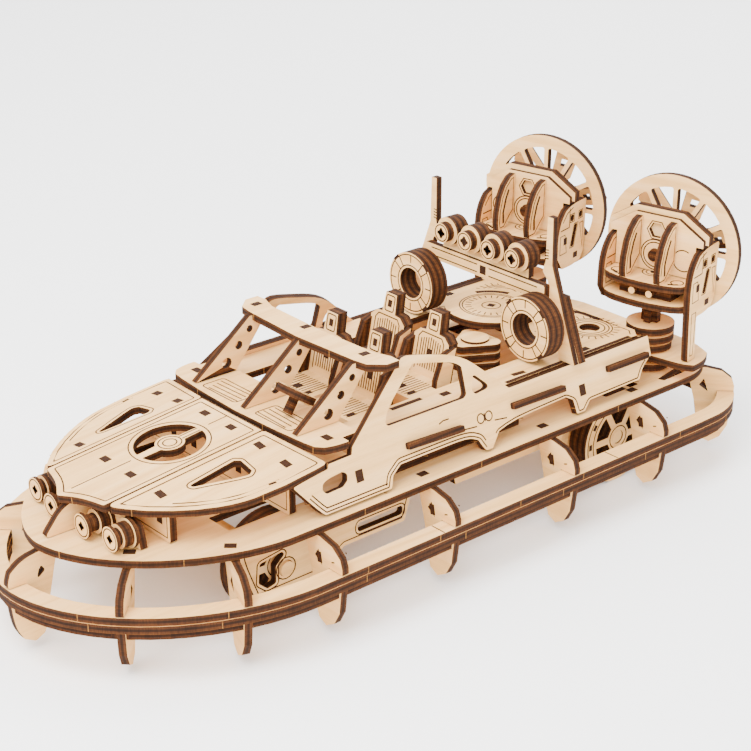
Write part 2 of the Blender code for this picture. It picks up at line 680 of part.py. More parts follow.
def nacelle_floor(word, pivot):
    """Two floors with a block between them, on a cross-shaped post, with the two inner fins."""
    inner = NACELLE_HALF - PLY - FIT
    plan = [(FLOOR_AHEAD - 5.5 + 5.5 * u, inner * v) for u, v in arc(0.0, 0.0, 1.0, 90.0, -90.0, 10)]
    plan += [(GUARD_AHEAD + FIT, -inner), (GUARD_AHEAD + FIT, inner)]
    lower = Shape()
    lower.flat(plan, LOWER_FLOOR_TOP - PLY, LOWER_FLOOR_TOP)
    upper = Shape()
    upper.flat(plan, UPPER_FLOOR_TOP - PLY, UPPER_FLOOR_TOP)
    middle = Shape()
    middle.flat(box(-9.0, -12.0, 7.0, 12.0), LOWER_FLOOR_TOP - 1.0, UPPER_FLOOR_TOP - PLY + 1.0)
    half = PLY / 2
    arm = PYLON_HALF
    post = Shape()
    post.flat([(arm, -half), (arm, half), (half, half), (half, arm), (-half, arm), (-half, half),
               (-arm, half), (-arm, -half), (-half, -half), (-half, -arm), (half, -arm), (half, -half)],
              UPPER_DECK_TOP + FIT, LOWER_FLOOR_TOP - 0.5)
    fins = Shape()
    for b in (-FIN_Y, FIN_Y):
        fins.along(FIN_OUTLINE, b - PLY / 2, b + PLY / 2)
    make_object("nacelle_floor_" + word, lower, joined=[upper, middle, post, fins], pivot=pivot,
                solver="MANIFOLD")


def nacelle_plates(side, word, pivot):
    """Back and side plates, the outer one with a leg down to the steering arm."""
    back = Shape()
    back.across(both_halves(NACELLE_BACK), -PLY, 0.0,
                [circle(0.0, FAN_Z, FAN_SHAFT_HOLE, 16), circle(0.0, 102.5, 3.6, 6)])
    rear = Shape()
    rear.across(both_halves(NACELLE_REAR), -2 * PLY, -PLY + 1.0, [circle(0.0, FAN_Z, FAN_SHAFT_HOLE + 2.0, 16)])
    make_object("nacelle_back_" + word, back, joined=[rear], pivot=pivot, solver="MANIFOLD")

    for place, b, foot in (("outer", side * NACELLE_HALF, NACELLE_LEG),
                           ("inner", -side * NACELLE_HALF, NACELLE_FRONT_FOOT)):
        plate = Shape()
        plate.along(NACELLE_SIDE + foot, b, b - math.copysign(PLY, b), NACELLE_SIDE_HOLES)
        make_object("nacelle_side_%s_%s" % (place, word), plate, pivot=pivot)

    steering_arm = Shape()
    steering_arm.flat([(a, side * b) for a, b in ARM_OUTLINE], ARM_TOP - PLY, ARM_TOP,
                      [circle(0.0, 0.0, 5.3, 24)])
    make_object("steering_arm_" + word, steering_arm, pivot=pivot)


def fan(word, pivot):
    """Fixed guard ring, and behind it the rotor with twisted blades."""
    pitch = 360.0 / SPOKES
    windows = [spoke_window(0.0, FAN_Z, 8.0, FAN_RADIUS - 5.5, pitch * i, pitch, 1.0)
               for i in range(SPOKES)]
    ring = Shape()
    ring.across(circle(0.0, FAN_Z, FAN_RADIUS, 60), GUARD_AHEAD - PLY, GUARD_AHEAD,
                windows + [circle(0.0, FAN_Z, FAN_SHAFT_HOLE, 16)])
    make_object("fan_ring_" + word, ring, pivot=pivot)

    shaft = Shape()
    shaft.across(circle(0.0, FAN_Z, FAN_SHAFT, 16), ROTOR_AHEAD - 4.5, 2.0)
    boss = Shape()
    boss.across(circle(0.0, FAN_Z, 5.5, 20), ROTOR_AHEAD - 3.0, ROTOR_AHEAD + 3.0)
    blades = Shape()
    twist = math.radians(BLADE_TWIST)
    for i in range(BLADES):
        heading = math.radians(360.0 / BLADES * i + BLADE_START)

        def place(r, w, t, heading=heading):
            sideways = w * math.cos(twist) - t * math.sin(twist)
            return (ROTOR_AHEAD + w * math.sin(twist) + t * math.cos(twist),
                    r * math.cos(heading) - sideways * math.sin(heading),
                    FAN_Z + r * math.sin(heading) + sideways * math.cos(heading))

        blades.prism(BLADE_OUTLINE, [box(16.5, -1.7, 19.9, 1.7)], place, -PLY / 2, PLY / 2)
    make_object("fan_rotor_" + word, shaft, (ROTOR_AHEAD, 0.0, FAN_Z), joined=[boss, blades], pivot=pivot)


def build():
    for thing in list(bpy.data.objects):
        bpy.data.objects.remove(thing)
    skirt()
    deck()
    stem()
    hull_sides()
    wheel_set("front", *FRONT_WHEELS)
    wheel_set("rear", *REAR_WHEELS)
    hood()
    hood_frames()
    bow_lamps()
    body_sides()
    cabin()
    steering_wheel()
    seats()
    arch()
    searchlights()
    upper_deck()
    winch()
    nacelles()


build()
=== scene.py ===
"""Looks of the laser-cut plywood hovercraft kit: birch sheets, burnt edges, engraving, stage and camera.

Numbers in the tables are millimetres in the part's own frame: +X bow, +Y port, +Z up.
A nacelle's own numbers are measured from its pylon, u ahead or to port and v up.
"""

import json
import math
import random

import bmesh
import bpy
from bpy.props import FloatProperty, FloatVectorProperty, PointerProperty
from mathutils import Matrix, Vector
from mathutils.bvhtree import BVHTree
from mathutils.geometry import tessellate_polygon

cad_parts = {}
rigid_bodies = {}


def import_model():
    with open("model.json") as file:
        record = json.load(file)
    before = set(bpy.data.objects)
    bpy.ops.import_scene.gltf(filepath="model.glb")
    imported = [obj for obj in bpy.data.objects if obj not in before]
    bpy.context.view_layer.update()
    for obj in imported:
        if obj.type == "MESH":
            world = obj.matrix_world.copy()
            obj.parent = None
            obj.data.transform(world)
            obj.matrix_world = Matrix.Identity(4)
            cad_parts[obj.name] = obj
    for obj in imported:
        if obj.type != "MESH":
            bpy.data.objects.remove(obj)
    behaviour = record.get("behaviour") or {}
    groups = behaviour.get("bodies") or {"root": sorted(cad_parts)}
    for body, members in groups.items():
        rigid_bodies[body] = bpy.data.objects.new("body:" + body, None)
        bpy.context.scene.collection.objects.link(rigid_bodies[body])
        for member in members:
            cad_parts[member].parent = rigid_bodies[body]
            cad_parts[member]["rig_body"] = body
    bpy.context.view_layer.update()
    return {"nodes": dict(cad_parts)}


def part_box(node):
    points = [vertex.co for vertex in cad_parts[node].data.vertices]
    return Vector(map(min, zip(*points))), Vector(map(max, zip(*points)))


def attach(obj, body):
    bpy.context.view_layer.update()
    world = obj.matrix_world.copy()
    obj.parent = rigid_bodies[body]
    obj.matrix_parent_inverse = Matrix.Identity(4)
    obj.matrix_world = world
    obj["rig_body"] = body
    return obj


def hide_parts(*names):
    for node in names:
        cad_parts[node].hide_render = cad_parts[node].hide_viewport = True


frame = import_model()

bl_info = {
    "name": "Plywood hovercraft kit",
    "version": (1, 0, 0),
    "blender": (4, 5, 0),
    "location": "3D View > Sidebar > Hovercraft",
    "description": "Dresses the packed hovercraft kit in laser-cut birch plywood",
    "category": "Object",
}

MM = 0.001
SIDES = ((1, "port"), (-1, "starboard"))

# where the nacelles turn, and their turn at rest
PYLON_X = -124.0
PYLON_Y = 37.5
NACELLE_TURN = 12.9
FAN_Z = 91.8

# facing: axis of u, axis of v, axis across the sheet, and its sign
FACINGS = {
    "top": (0, 1, 2, 1),
    "bottom": (0, 1, 2, -1),
    "port": (0, 2, 1, 1),
    "starboard": (0, 2, 1, -1),
    "front": (1, 2, 0, 1),
    "back": (1, 2, 0, -1),
}

# the round opening of the centre hood sheet, and the wedge opening of a side one
HOOD_DISC_X = 97.5
HOOD_DISC_RADIUS = 13.5
HOOD_WEDGE = ((109.2, 28.4), (88.4, 26.8), (86.5, 28.4), (87.0, 35.6), (89.0, 36.8), (91.6, 36.4),
              (108.8, 29.8))

# the kidney opening and the slot of a front hull side
HULL_KIDNEY = ((90.0, 26.0), (79.6, 27.4), (78.6, 26.0), (82.6, 22.4), (82.6, 15.5), (86.6, 14.6),
               (90.6, 18.0))
HULL_SLOT = ((43.5, 26.2), (21.0, 26.2), (21.0, 22.4), (43.5, 22.4))

# a rub strip stands on a leaning body side, this thick with what is sunk in
RUB_STRIP_DEPTH = 2.2

# nodes of one sheet each: the way it faces, its corners' radius, and how the names start
SHEETS = (
    ("top", 0.9, ("skirt_ring", "deck_plate", "upper_deck", "rear_cover", "cabin_floor", "dash_plate")),
    ("top", 2.0, ("hood_port", "hood_starboard", "hood_centre")),
    ("port", 1.2, ("stem_plate", "stem_rib", "hull_side")),
    ("front", 1.0, ("hood_frame", "arch_crossbar")),
)
# nodes whose sheets face more than one way, and words in the names of round or turned ones
FUSED = ("skirt_frame", "windshield_frame", "nacelle_floor", "fan_rotor", "steering_wheel", "seat")
ROUND = ("wheel", "axle", "lifebuoy", "bow_lamps", "searchlights", "pylon", "winch")

# how outlines are rounded: corners below the turn become one curve, drawn in steps of an angle
CURVE_TURN = math.radians(27.0)
CURVE_REACH = 9.0
CURVE_STEP = math.radians(6.0)
SHARP_EDGE = math.radians(35.0)

# each piece's grain starts at another place of the pattern, up to this many millimetres off
GRAIN_SHIFT = 400.0

# bare wood and char throw back little light
SPECULAR = 0.15

# the solids' meshes are welded, and triangles of one flat side joined
WELD_DISTANCE = 0.002 * MM
FLAT_ANGLE = math.radians(0.6)

# the room: half the floor's width, the room's own light, and three softboxes aimed at the origin
FLOOR_REACH = 3.0
ROOM_LIGHT = 2.3
SOFTBOXES = (
    ("key_softbox", (0.55, 0.10, 0.95), 0.7, 27.0),
    ("front_softbox", (0.75, 0.95, 0.55), 0.9, 13.0),
    ("back_softbox", (-0.8, -0.5, 0.9), 1.0, 14.0),
)


# Settings

def hex_colour(text):
    """Linear colour from an sRGB hex value."""
    values = [int(text[i:i + 2], 16) / 255.0 for i in (0, 2, 4)]
    return tuple(v / 12.92 if v <= 0.04045 else ((v + 0.055) / 1.055) ** 2.4 for v in values)


class HovercraftWood(bpy.types.PropertyGroup):
    sheet_colour: FloatVectorProperty(
        name="Sheet colour", description="Sanded birch face", subtype="COLOR", default=hex_colour("E3B371"))
    grain_colour: FloatVectorProperty(
        name="Grain colour", description="Darker streaks of the birch face", subtype="COLOR",
        default=hex_colour("C08A4C"))
    edge_colour: FloatVectorProperty(
        name="Edge colour", description="Outer plies of a laser-cut edge", subtype="COLOR",
        default=hex_colour("3E210C"))
    char_colour: FloatVectorProperty(
        name="Char colour", description="Burnt middle ply and engraving", subtype="COLOR",
        default=hex_colour("170A03"))
    sheet_thickness: FloatProperty(
        name="Sheet thickness", description="Thickness of one plywood sheet", subtype="DISTANCE",
        unit="LENGTH", default=3.0 * MM)
    score_width: FloatProperty(
        name="Score width", description="Width of an engraved line", subtype="DISTANCE",
        unit="LENGTH", default=0.5 * MM)
    score_height: FloatProperty(
        name="Score height", description="Height of an engraved line's burr", subtype="DISTANCE",
        unit="LENGTH", default=0.06 * MM)
    tab_height: FloatProperty(
        name="Tab height", description="How far a tab's end stands out of the sheet", subtype="DISTANCE",
        unit="LENGTH", default=0.12 * MM)


class HovercraftStage(bpy.types.PropertyGroup):
    floor_colour: FloatVectorProperty(
        name="Floor colour", description="Paper of the studio sweep", subtype="COLOR",
        default=hex_colour("FFFFFF"))
    camera_place: FloatVectorProperty(
        name="Camera place", description="Where the camera stands", subtype="TRANSLATION", unit="LENGTH",
        default=(0.43827, 0.50459, 0.35708))
    camera_aim: FloatVectorProperty(
        name="Camera aim", description="Direction in which the camera looks", subtype="DIRECTION",
        default=(-0.600897, -0.688392, -0.406251))
    camera_roll: FloatProperty(
        name="Camera roll", description="Turn about the camera's own axis", subtype="ANGLE", unit="ROTATION",
        default=math.radians(0.18))
    camera_lens: FloatProperty(
        name="Camera lens", description="Focal length for a 36 mm sensor", default=88.18)


# Node trees and materials

def add_node(tree, kind, inputs=(), **settings):
    """A new node with its settings; inputs maps a socket to a value or to another node's socket."""
    node = tree.nodes.new(kind)
    for name, value in settings.items():
        setattr(node, name, value)
    for socket, value in dict(inputs).items():
        if isinstance(value, bpy.types.NodeSocket):
            tree.links.new(value, node.inputs[socket])
        else:
            node.inputs[socket].default_value = value
    return node


def set_stops(ramp_node, stops):
    """Gives a colour ramp its stops, each a position and a colour."""
    elements = ramp_node.color_ramp.elements
    while len(elements) < len(stops):
        elements.new(0.5)
    for element, (position, colour) in zip(elements, stops):
        element.position = position
        element.color = (*colour, 1.0)


def new_material(name):
    """A material with a plain shader: returns it with its node tree and the shader."""
    made = bpy.data.materials.new(name)
    made.use_nodes = True
    made.node_tree.nodes.clear()
    tree = made.node_tree
    shader = add_node(tree, "ShaderNodeBsdfPrincipled", {"Specular IOR Level": SPECULAR})
    add_node(tree, "ShaderNodeOutputMaterial", {"Surface": shader.outputs["BSDF"]})
    return made, tree, shader


def mixed(colour, other, share):
    """A colour that lies the given share of the way to another one."""
    return tuple(a + (b - a) * share for a, b in zip(colour, other))


def birch_plywood():
    """Three-ply birch, sanded faces and laser-cut edges: pale cream with fine grain, edges burnt brown.

    The UV map holds millimetres: along the grain and across it on a face, along the cut and
    down through the plies on an edge. The attribute cut_edge is 1 on an edge.
    """
    wood = bpy.context.scene.hovercraft_wood
    pale = tuple(wood.sheet_colour)
    grain = tuple(wood.grain_colour)
    edge = tuple(wood.edge_colour)
    char = tuple(wood.char_colour)
    made, tree, shader = new_material("birch_plywood_laser_cut")
    sheet = add_node(tree, "ShaderNodeUVMap", uv_map="sheet_mm").outputs["UV"]
    cut = add_node(tree, "ShaderNodeAttribute", attribute_name="cut_edge").outputs["Fac"]

    # soft bands 80 mm by 5 mm and fine pores 6 mm by 0.3 mm on a face; on an edge the beam's
    # stripes, 0.5 mm apart, and patches of char 10 mm by 2 mm
    patterns = {}
    for name, stretch, settings in (
            ("bands", (0.012, 0.22, 1.0), {"Detail": 4.0, "Roughness": 0.55, "Distortion": 0.4}),
            ("pores", (0.16, 3.3, 1.0), {"Detail": 2.0, "Roughness": 0.6}),
            ("stripes", (1.9, 0.25, 1.0), {"Detail": 2.0}),
            ("patches", (0.10, 0.5, 1.0), {"Detail": 3.0})):
        place = add_node(tree, "ShaderNodeMapping", {"Vector": sheet, "Scale": stretch})
        noise = add_node(tree, "ShaderNodeTexNoise",
                         {"Vector": place.outputs["Vector"], "Scale": 1.0, **settings})
        patterns[name] = noise.outputs["Fac"]
    shares = {}
    for name, low, high, at_low, at_high in (
            ("pores", 0.56, 0.74, 0.0, 0.42),
            ("stripes", 0.35, 0.7, 1.18, 0.62),
            ("patches", 0.3, 0.7, 0.7, 1.35)):
        changed = add_node(tree, "ShaderNodeMapRange",
                           {"Value": patterns[name], "From Min": low, "From Max": high,
                            "To Min": at_low, "To Max": at_high})
        shares[name] = changed.outputs["Result"]

    band_colour = add_node(tree, "ShaderNodeValToRGB", {"Fac": patterns["bands"]})
    set_stops(band_colour, ((0.30, mixed(pale, grain, 0.55)), (0.52, pale),
                            (0.78, mixed(pale, (1, 1, 1), 0.10))))
    face = add_node(tree, "ShaderNodeMix", {"Factor": shares["pores"], "A": band_colour.outputs["Color"],
                                            "B": (*grain, 1.0)}, data_type="RGBA")

    # plies: the position down through one sheet, from 0 to 1
    parts = add_node(tree, "ShaderNodeSeparateXYZ", {"Vector": sheet})
    share = add_node(tree, "ShaderNodeMath", {0: parts.outputs["Y"], 1: wood.sheet_thickness / MM},
                     operation="DIVIDE")
    depth = add_node(tree, "ShaderNodeMath", {0: share.outputs[0]}, operation="FRACT")
    plies = add_node(tree, "ShaderNodeValToRGB", {"Fac": depth.outputs[0]})
    rim = mixed(edge, hex_colour("70441C"), 0.6)
    core = mixed(edge, char, 0.75)
    set_stops(plies, ((0.0, rim), (0.06, edge), (0.30, edge), (0.38, core), (0.62, core), (0.70, edge),
                      (0.94, edge), (1.0, rim)))
    gain = add_node(tree, "ShaderNodeMath", {0: shares["stripes"], 1: shares["patches"]},
                    operation="MULTIPLY")
    burnt = add_node(tree, "ShaderNodeVectorMath", {0: plies.outputs["Color"], "Scale": gain.outputs[0]},
                     operation="SCALE")

    colour = add_node(tree, "ShaderNodeMix",
                      {"Factor": cut, "A": face.outputs[2], "B": burnt.outputs["Vector"]}, data_type="RGBA")
    rough = add_node(tree, "ShaderNodeMapRange", {"Value": cut, "To Min": 0.58, "To Max": 0.85})
    relief = add_node(tree, "ShaderNodeMix",
                      {"Factor": cut, "A": patterns["pores"], "B": patterns["stripes"]}, data_type="FLOAT")
    bump = add_node(tree, "ShaderNodeBump",
                    {"Height": relief.outputs[0], "Strength": 0.25, "Distance": 0.12 * MM})
    tree.links.new(colour.outputs[2], shader.inputs["Base Color"])
    tree.links.new(rough.outputs["Result"], shader.inputs["Roughness"])
    tree.links.new(bump.outputs["Normal"], shader.inputs["Normal"])
    return made


def charred_birch(name, colour, light):
    """Birch burnt by the beam, matt, mottled at half a millimetre."""
    made, tree, shader = new_material(name)
    place = add_node(tree, "ShaderNodeTexCoord")
    mottle = add_node(tree, "ShaderNodeTexNoise", {"Vector": place.outputs["Object"], "Scale": 1800.0,
                                                   "Detail": 3.0})
    tone = add_node(tree, "ShaderNodeValToRGB", {"Fac": mottle.outputs["Fac"]})
    set_stops(tone, ((0.35, colour), (0.68, light)))
    tree.links.new(tone.outputs["Color"], shader.inputs["Base Color"])
    shader.inputs["Roughness"].default_value = 0.85
    bump = add_node(tree, "ShaderNodeBump",
                    {"Height": mottle.outputs["Fac"], "Strength": 0.3, "Distance": 0.1 * MM})
    tree.links.new(bump.outputs["Normal"], shader.inputs["Normal"])
    return made


def studio_paper():
    """Matt white paper sweep, with a faint tooth of a tenth of a millimetre drawn at 2 mm."""
    made, tree, shader = new_material("matt_white_paper")
    place = add_node(tree, "ShaderNodeTexCoord")
    tooth = add_node(tree, "ShaderNodeTexNoise", {"Vector": place.outputs["Object"], "Scale": 500.0,
                                                  "Detail": 2.0})
    tone = add_node(tree, "ShaderNodeValToRGB", {"Fac": tooth.outputs["Fac"]})
    paper = tuple(bpy.context.scene.hovercraft_stage.floor_colour)
    set_stops(tone, ((0.0, mixed(paper, (0.9, 0.9, 0.9), 0.2)), (1.0, paper)))
    tree.links.new(tone.outputs["Color"], shader.inputs["Base Color"])
    shader.inputs["Roughness"].default_value = 0.9
    return made


MATERIALS = {}


def make_materials():
    """Fills the table of materials for the sheets, the engraving, the tab ends and the sprues; the tab ends'
    material also paints the shade of the crossed holes.
    """
    wood = bpy.context.scene.hovercraft_wood
    edge = tuple(wood.edge_colour)
    char = tuple(wood.char_colour)
    MATERIALS["wood"] = birch_plywood()
    MATERIALS["score"] = charred_birch("birch_laser_score", mixed(char, edge, 0.3), mixed(edge, char, 0.1))
    # burnt end grain of the tabs, and also painted shade in the crossed holes
    MATERIALS["tab"] = charred_birch("birch_tab_end_grain_and_painted_hole_shade", mixed(char, edge, 0.2), mixed(char, edge, 0.7))
    MATERIALS["nub"] = charred_birch("birch_broken_sprue", hex_colour("6B431D"), hex_colour("9A6B36"))


# Geometry Nodes trees

def new_tree(name, sizes):
    """A Geometry Nodes tree with its named inputs; returns it with its first and last node."""
    tree = bpy.data.node_groups.new(name, "GeometryNodeTree")
    tree.interface.new_socket("Geometry", in_out="INPUT", socket_type="NodeSocketGeometry")
    for size in sizes:
        tree.interface.new_socket(size, in_out="INPUT", socket_type="NodeSocketFloat")
    tree.interface.new_socket("Material", in_out="INPUT", socket_type="NodeSocketMaterial")
    tree.interface.new_socket("Geometry", in_out="OUTPUT", socket_type="NodeSocketGeometry")
    return tree, add_node(tree, "NodeGroupInput"), tree.nodes.new("NodeGroupOutput")


def close_tree(tree, source, geometry, sink):
    """Ends a tree in real geometry with its material."""
    real = add_node(tree, "GeometryNodeRealizeInstances", {"Geometry": geometry})
    finished = add_node(tree, "GeometryNodeSetMaterial", {"Geometry": real.outputs[0],
                                                          "Material": source.outputs["Material"]})
    tree.links.new(finished.outputs[0], sink.inputs[0])
    return tree


def score_tree():
    """A flat ribbon along every line of edges that lies in the plane of u and v."""
    tree, source, sink = new_tree("engraved_line", ("Width", "Height"))
    line = add_node(tree, "GeometryNodeMeshToCurve", {"Mesh": source.outputs["Geometry"]})
    level = add_node(tree, "GeometryNodeSetCurveNormal", {"Curve": line.outputs[0]}, mode="Z_UP")
    section = add_node(tree, "GeometryNodeCurvePrimitiveQuadrilateral",
                       {"Width": source.outputs["Width"], "Height": source.outputs["Height"]})
    ribbon = add_node(tree, "GeometryNodeCurveToMesh",
                      {"Curve": level.outputs[0], "Profile Curve": section.outputs[0], "Fill Caps": True})
    return close_tree(tree, source, ribbon.outputs[0], sink)


def block_tree():
    """A small block on every point, sized by its attribute size and turned by its attribute turn."""
    tree, source, sink = new_tree("tab_end", ("Height",))
    size = add_node(tree, "GeometryNodeInputNamedAttribute", {"Name": "size"}, data_type="FLOAT_VECTOR")
    turn = add_node(tree, "GeometryNodeInputNamedAttribute", {"Name": "turn"}, data_type="FLOAT_VECTOR")
    parts = add_node(tree, "ShaderNodeSeparateXYZ", {"Vector": size.outputs[0]})
    scale = add_node(tree, "ShaderNodeCombineXYZ", {"X": parts.outputs["X"], "Y": parts.outputs["Y"],
                                                    "Z": source.outputs["Height"]})
    block = add_node(tree, "GeometryNodeMeshCube", {"Size": (1.0, 1.0, 1.0)})
    copies = add_node(tree, "GeometryNodeInstanceOnPoints",
                      {"Points": source.outputs["Geometry"], "Instance": block.outputs["Mesh"],
                       "Rotation": turn.outputs[0], "Scale": scale.outputs[0]})
    return close_tree(tree, source, copies.outputs[0], sink)


TREES = {}


def add_to_scene(name, data):
    """A new object of a mesh, a light or a camera, linked to the scene."""
    thing = bpy.data.objects.new(name, data)
    bpy.context.scene.collection.objects.link(thing)
    return thing


def grown(mesh, tree, values):
    """The mesh that a tree makes from another mesh; values go to the inputs by name."""
    thing = add_to_scene("growing", mesh)
    change = thing.modifiers.new("grow", "NODES")
    change.node_group = tree
    for item in tree.interface.items_tree:
        if item.in_out == "INPUT" and item.name in values:
            change[item.identifier] = values[item.name]
    bpy.context.view_layer.update()
    made = bpy.data.meshes.new_from_object(thing.evaluated_get(bpy.context.evaluated_depsgraph_get()))
    bpy.data.objects.remove(thing)
    bpy.data.meshes.remove(mesh)
    return made


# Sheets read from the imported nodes

MERGED = {}


def merged(node):
    """The node's mesh as one welded surface, with the triangles of each flat side joined."""
    if node not in MERGED:
        editable = bmesh.new()
        editable.from_mesh(frame["nodes"][node].data)
        bmesh.ops.remove_doubles(editable, verts=editable.verts, dist=WELD_DISTANCE)
        bmesh.ops.dissolve_limit(editable, angle_limit=FLAT_ANGLE, verts=editable.verts,
                                 edges=editable.edges)
        editable.normal_update()
        MERGED[node] = editable
    return MERGED[node]


def nacelle_base(side):
    """From a nacelle's own frame, at its pylon and along its turned sheets, to the part's frame."""
    return (Matrix.Translation((PYLON_X * MM, side * PYLON_Y * MM, 0.0))
            @ Matrix.Rotation(math.radians(NACELLE_TURN), 4, "Z"))


class Surface:
    """One flat side of a sheet: turns u and v into places on it, and gives its outlines."""

    def __init__(self, node, facing, base=None, level=None, rank=0):
        self.node = node
        self.body = frame["nodes"][node]["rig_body"]
        self.base = base or Matrix.Identity(4)
        self.axes = FACINGS[facing]
        inverse = self.base.inverted()
        turn = inverse.to_3x3()
        _, _, across, sign = self.axes
        planes = {}
        for face in merged(node).faces:
            normal = turn @ face.normal
            if normal[across] * sign > 0.9:
                centre = inverse @ face.calc_center_median()
                tilt = tuple(round(value, 2) for value in normal)
                level_of_plane = round(normal.dot(centre) / MM, 1)
                planes.setdefault((tilt, level_of_plane), []).append((face, normal, centre))
        if not planes:
            raise RuntimeError("no side of %s faces %s" % (node, facing))

        def worth(faces):
            if level is not None:
                return -abs(faces[0][2][across] / MM - level)
            return sum(face.calc_area() for face, _, _ in faces)

        self.faces = sorted(planes.values(), key=worth, reverse=True)[rank]
        _, normal, centre = self.faces[0]
        self.normal = normal
        self.offset = normal.dot(centre)
        self.inverse = inverse

    def matrix(self):
        """From u, v and height above the sheet, in metres, to the part's frame."""
        u, v, across, _ = self.axes
        columns = []
        for axis in (u, v):
            column = Vector((0.0, 0.0, 0.0))
            column[axis] = 1.0
            column[across] = -self.normal[axis] / self.normal[across]
            columns.append(column)
        origin = Vector((0.0, 0.0, 0.0))
        origin[across] = self.offset / self.normal[across]
        local = Matrix.Identity(4)
        for i, column in enumerate((*columns, self.normal, origin)):
            local[0][i], local[1][i], local[2][i] = column
        return self.base @ local

    def outlines(self):
        """Closed outlines in u and v with the wood on their left, the outer one first."""
        own = {face for face, _, _ in self.faces}
        onward = {}
        for face, _, _ in self.faces:
            for corner in face.loops:
                if not any(other in own and other is not face for other in corner.edge.link_faces):
                    onward.setdefault(corner.vert, []).append(corner.link_loop_next.vert)
        loops = []
        while onward:
            start = next(iter(onward))
            chain = [start]
            while chain[-1] in onward:
                nexts = onward[chain[-1]]
                following = nexts.pop()
                if not nexts:
                    del onward[chain[-1]]
                if following is start:
                    break
                chain.append(following)
            loops.append([self.flat(vert.co) for vert in chain])
        loops.sort(key=lambda loop: -abs(area_of(loop)))
        if loops and area_of(loops[0]) < 0.0:
            loops = [loop[::-1] for loop in loops]
        return [plain(loop) for loop in loops if abs(area_of(loop)) > 0.5]

    def flat(self, place):
        local = self.inverse @ place
        return (local[self.axes[0]] / MM, local[self.axes[1]] / MM)


def area_of(loop):
    return 0.5 * sum(a[0] * b[1] - b[0] * a[1] for a, b in zip(loop, loop[1:] + loop[:1]))


def plain(loop):
    """The loop without points that lie on the line between their neighbours."""
    kept = []
    for before, here, after in zip(loop[-1:] + loop[:-1], loop, loop[1:] + loop[:1]):
        first = Vector(here) - Vector(before)
        second = Vector(after) - Vector(here)
        bend = abs(first.x * second.y - first.y * second.x)
        if first.length > 0.02 and bend > 1e-3 * first.length * second.length:
            kept.append(here)
    return kept


def eased(loop, radius):
    """The loop with its corners rounded: sharp ones to a radius, slight ones into one curve."""
    made = []
    for before, here, after in zip(loop[-1:] + loop[:-1], loop, loop[1:] + loop[:1]):
        here = Vector(here)
        back = Vector(before) - here
        ahead = Vector(after) - here
        turn = math.pi - back.angle(ahead, math.pi)
        reach = CURVE_REACH if turn < CURVE_TURN else radius * math.tan(turn / 2.0)
        start = here + back.normalized() * min(reach, 0.499 * back.length)
        end = here + ahead.normalized() * min(reach, 0.499 * ahead.length)
        steps = max(1, round(turn / CURVE_STEP))
        for i in range(steps + 1):
            t = i / steps
            made.append(tuple(start * (1.0 - t) ** 2 + here * 2.0 * t * (1.0 - t) + end * t ** 2))
    return plain(made)


def inset(loop, distance):
    """The outline moved into the wood by a distance, mitred."""
    made = []
    for before, here, after in zip(loop[-1:] + loop[:-1], loop, loop[1:] + loop[:1]):
        first = (Vector(here) - Vector(before)).normalized()
        second = (Vector(after) - Vector(here)).normalized()
        left_first = Vector((-first.y, first.x))
        left_second = Vector((-second.y, second.x))
        spread = max(1.0 + left_first.dot(left_second), 0.35)
        made.append(tuple(Vector(here) + distance * (left_first + left_second) / spread))
    return made


def closed(points):
    """The points with the first one again at the end."""
    return list(points) + [points[0]]


def runs(loop, keep):
    """The stretches of a closed loop whose points pass a test of u and v."""
    flags = [keep(u, v) for u, v in loop]
    if all(flags):
        return [closed(loop)]
    if not any(flags):
        return []
    start = next(i for i in range(len(loop)) if flags[i] and not flags[i - 1])
    stretches = [[]]
    for i in range(len(loop)):
        j = (start + i) % len(loop)
        if flags[j]:
            stretches[-1].append(loop[j])
        elif stretches[-1]:
            stretches.append([])
    return [stretch for stretch in stretches if len(stretch) > 1]


def ring(u, v, radius, start=0.0, end=360.0, steps=32, squash=1.0):
    """An arc in degrees, a closed circle unless start and end say less."""
    points = []
    for i in range(steps + 1):
        angle = math.radians(start + (end - start) * i / steps)
        points.append((u + radius * math.cos(angle), v + squash * radius * math.sin(angle)))
    return points


def rays(u, v, inner, outer, count, start=0.0):
    """Short lines that point away from a centre."""
    lines = []
    for i in range(count):
        angle = math.radians(start + 360.0 * i / count)
        lines.append([(u + r * math.cos(angle), v + r * math.sin(angle)) for r in (inner, outer)])
    return lines


def rounded_box(u, v, width, height, radius, steps=4):
    """A closed box round a centre, with rounded corners."""
    points = []
    for quarter, (su, sv) in enumerate(((1, 1), (-1, 1), (-1, -1), (1, -1))):
        points += ring(u + su * (width / 2 - radius), v + sv * (height / 2 - radius), radius,
                       90.0 * quarter, 90.0 * quarter + 90.0, steps)
    return closed(points)


def rings(u, v, radii, steps=32):
    return [ring(u, v, radius, steps=steps) for radius in radii]


def middle_of(loop):
    """The middle of a loop's reach in u and v."""
    us, vs = zip(*loop)
    return (min(us) + max(us)) / 2.0, (min(vs) + max(vs)) / 2.0


def both_lines(*lines):
    """Lines of the port side and their mirror images to starboard."""
    return [[(u, side * v) for u, v in line] for side in (1, -1) for line in lines]


def both_spots(spots):
    """Spots of the port side, each u, v, two sizes and a turn if any, and their mirror images."""
    return [(u, side * v, width, depth, *(side * angle for angle in turn))
            for side in (1, -1) for u, v, width, depth, *turn in spots]


def painted_hole_shade(u, v, size):
    """Crossed dark blocks, a turned square and two bars: painted shade that stands in for a hole of that
    shape.
    """
    return [(u, v, size, size, 45.0), (u, v, size * 1.35, size * 0.36), (u, v, size * 0.36, size * 1.35)]
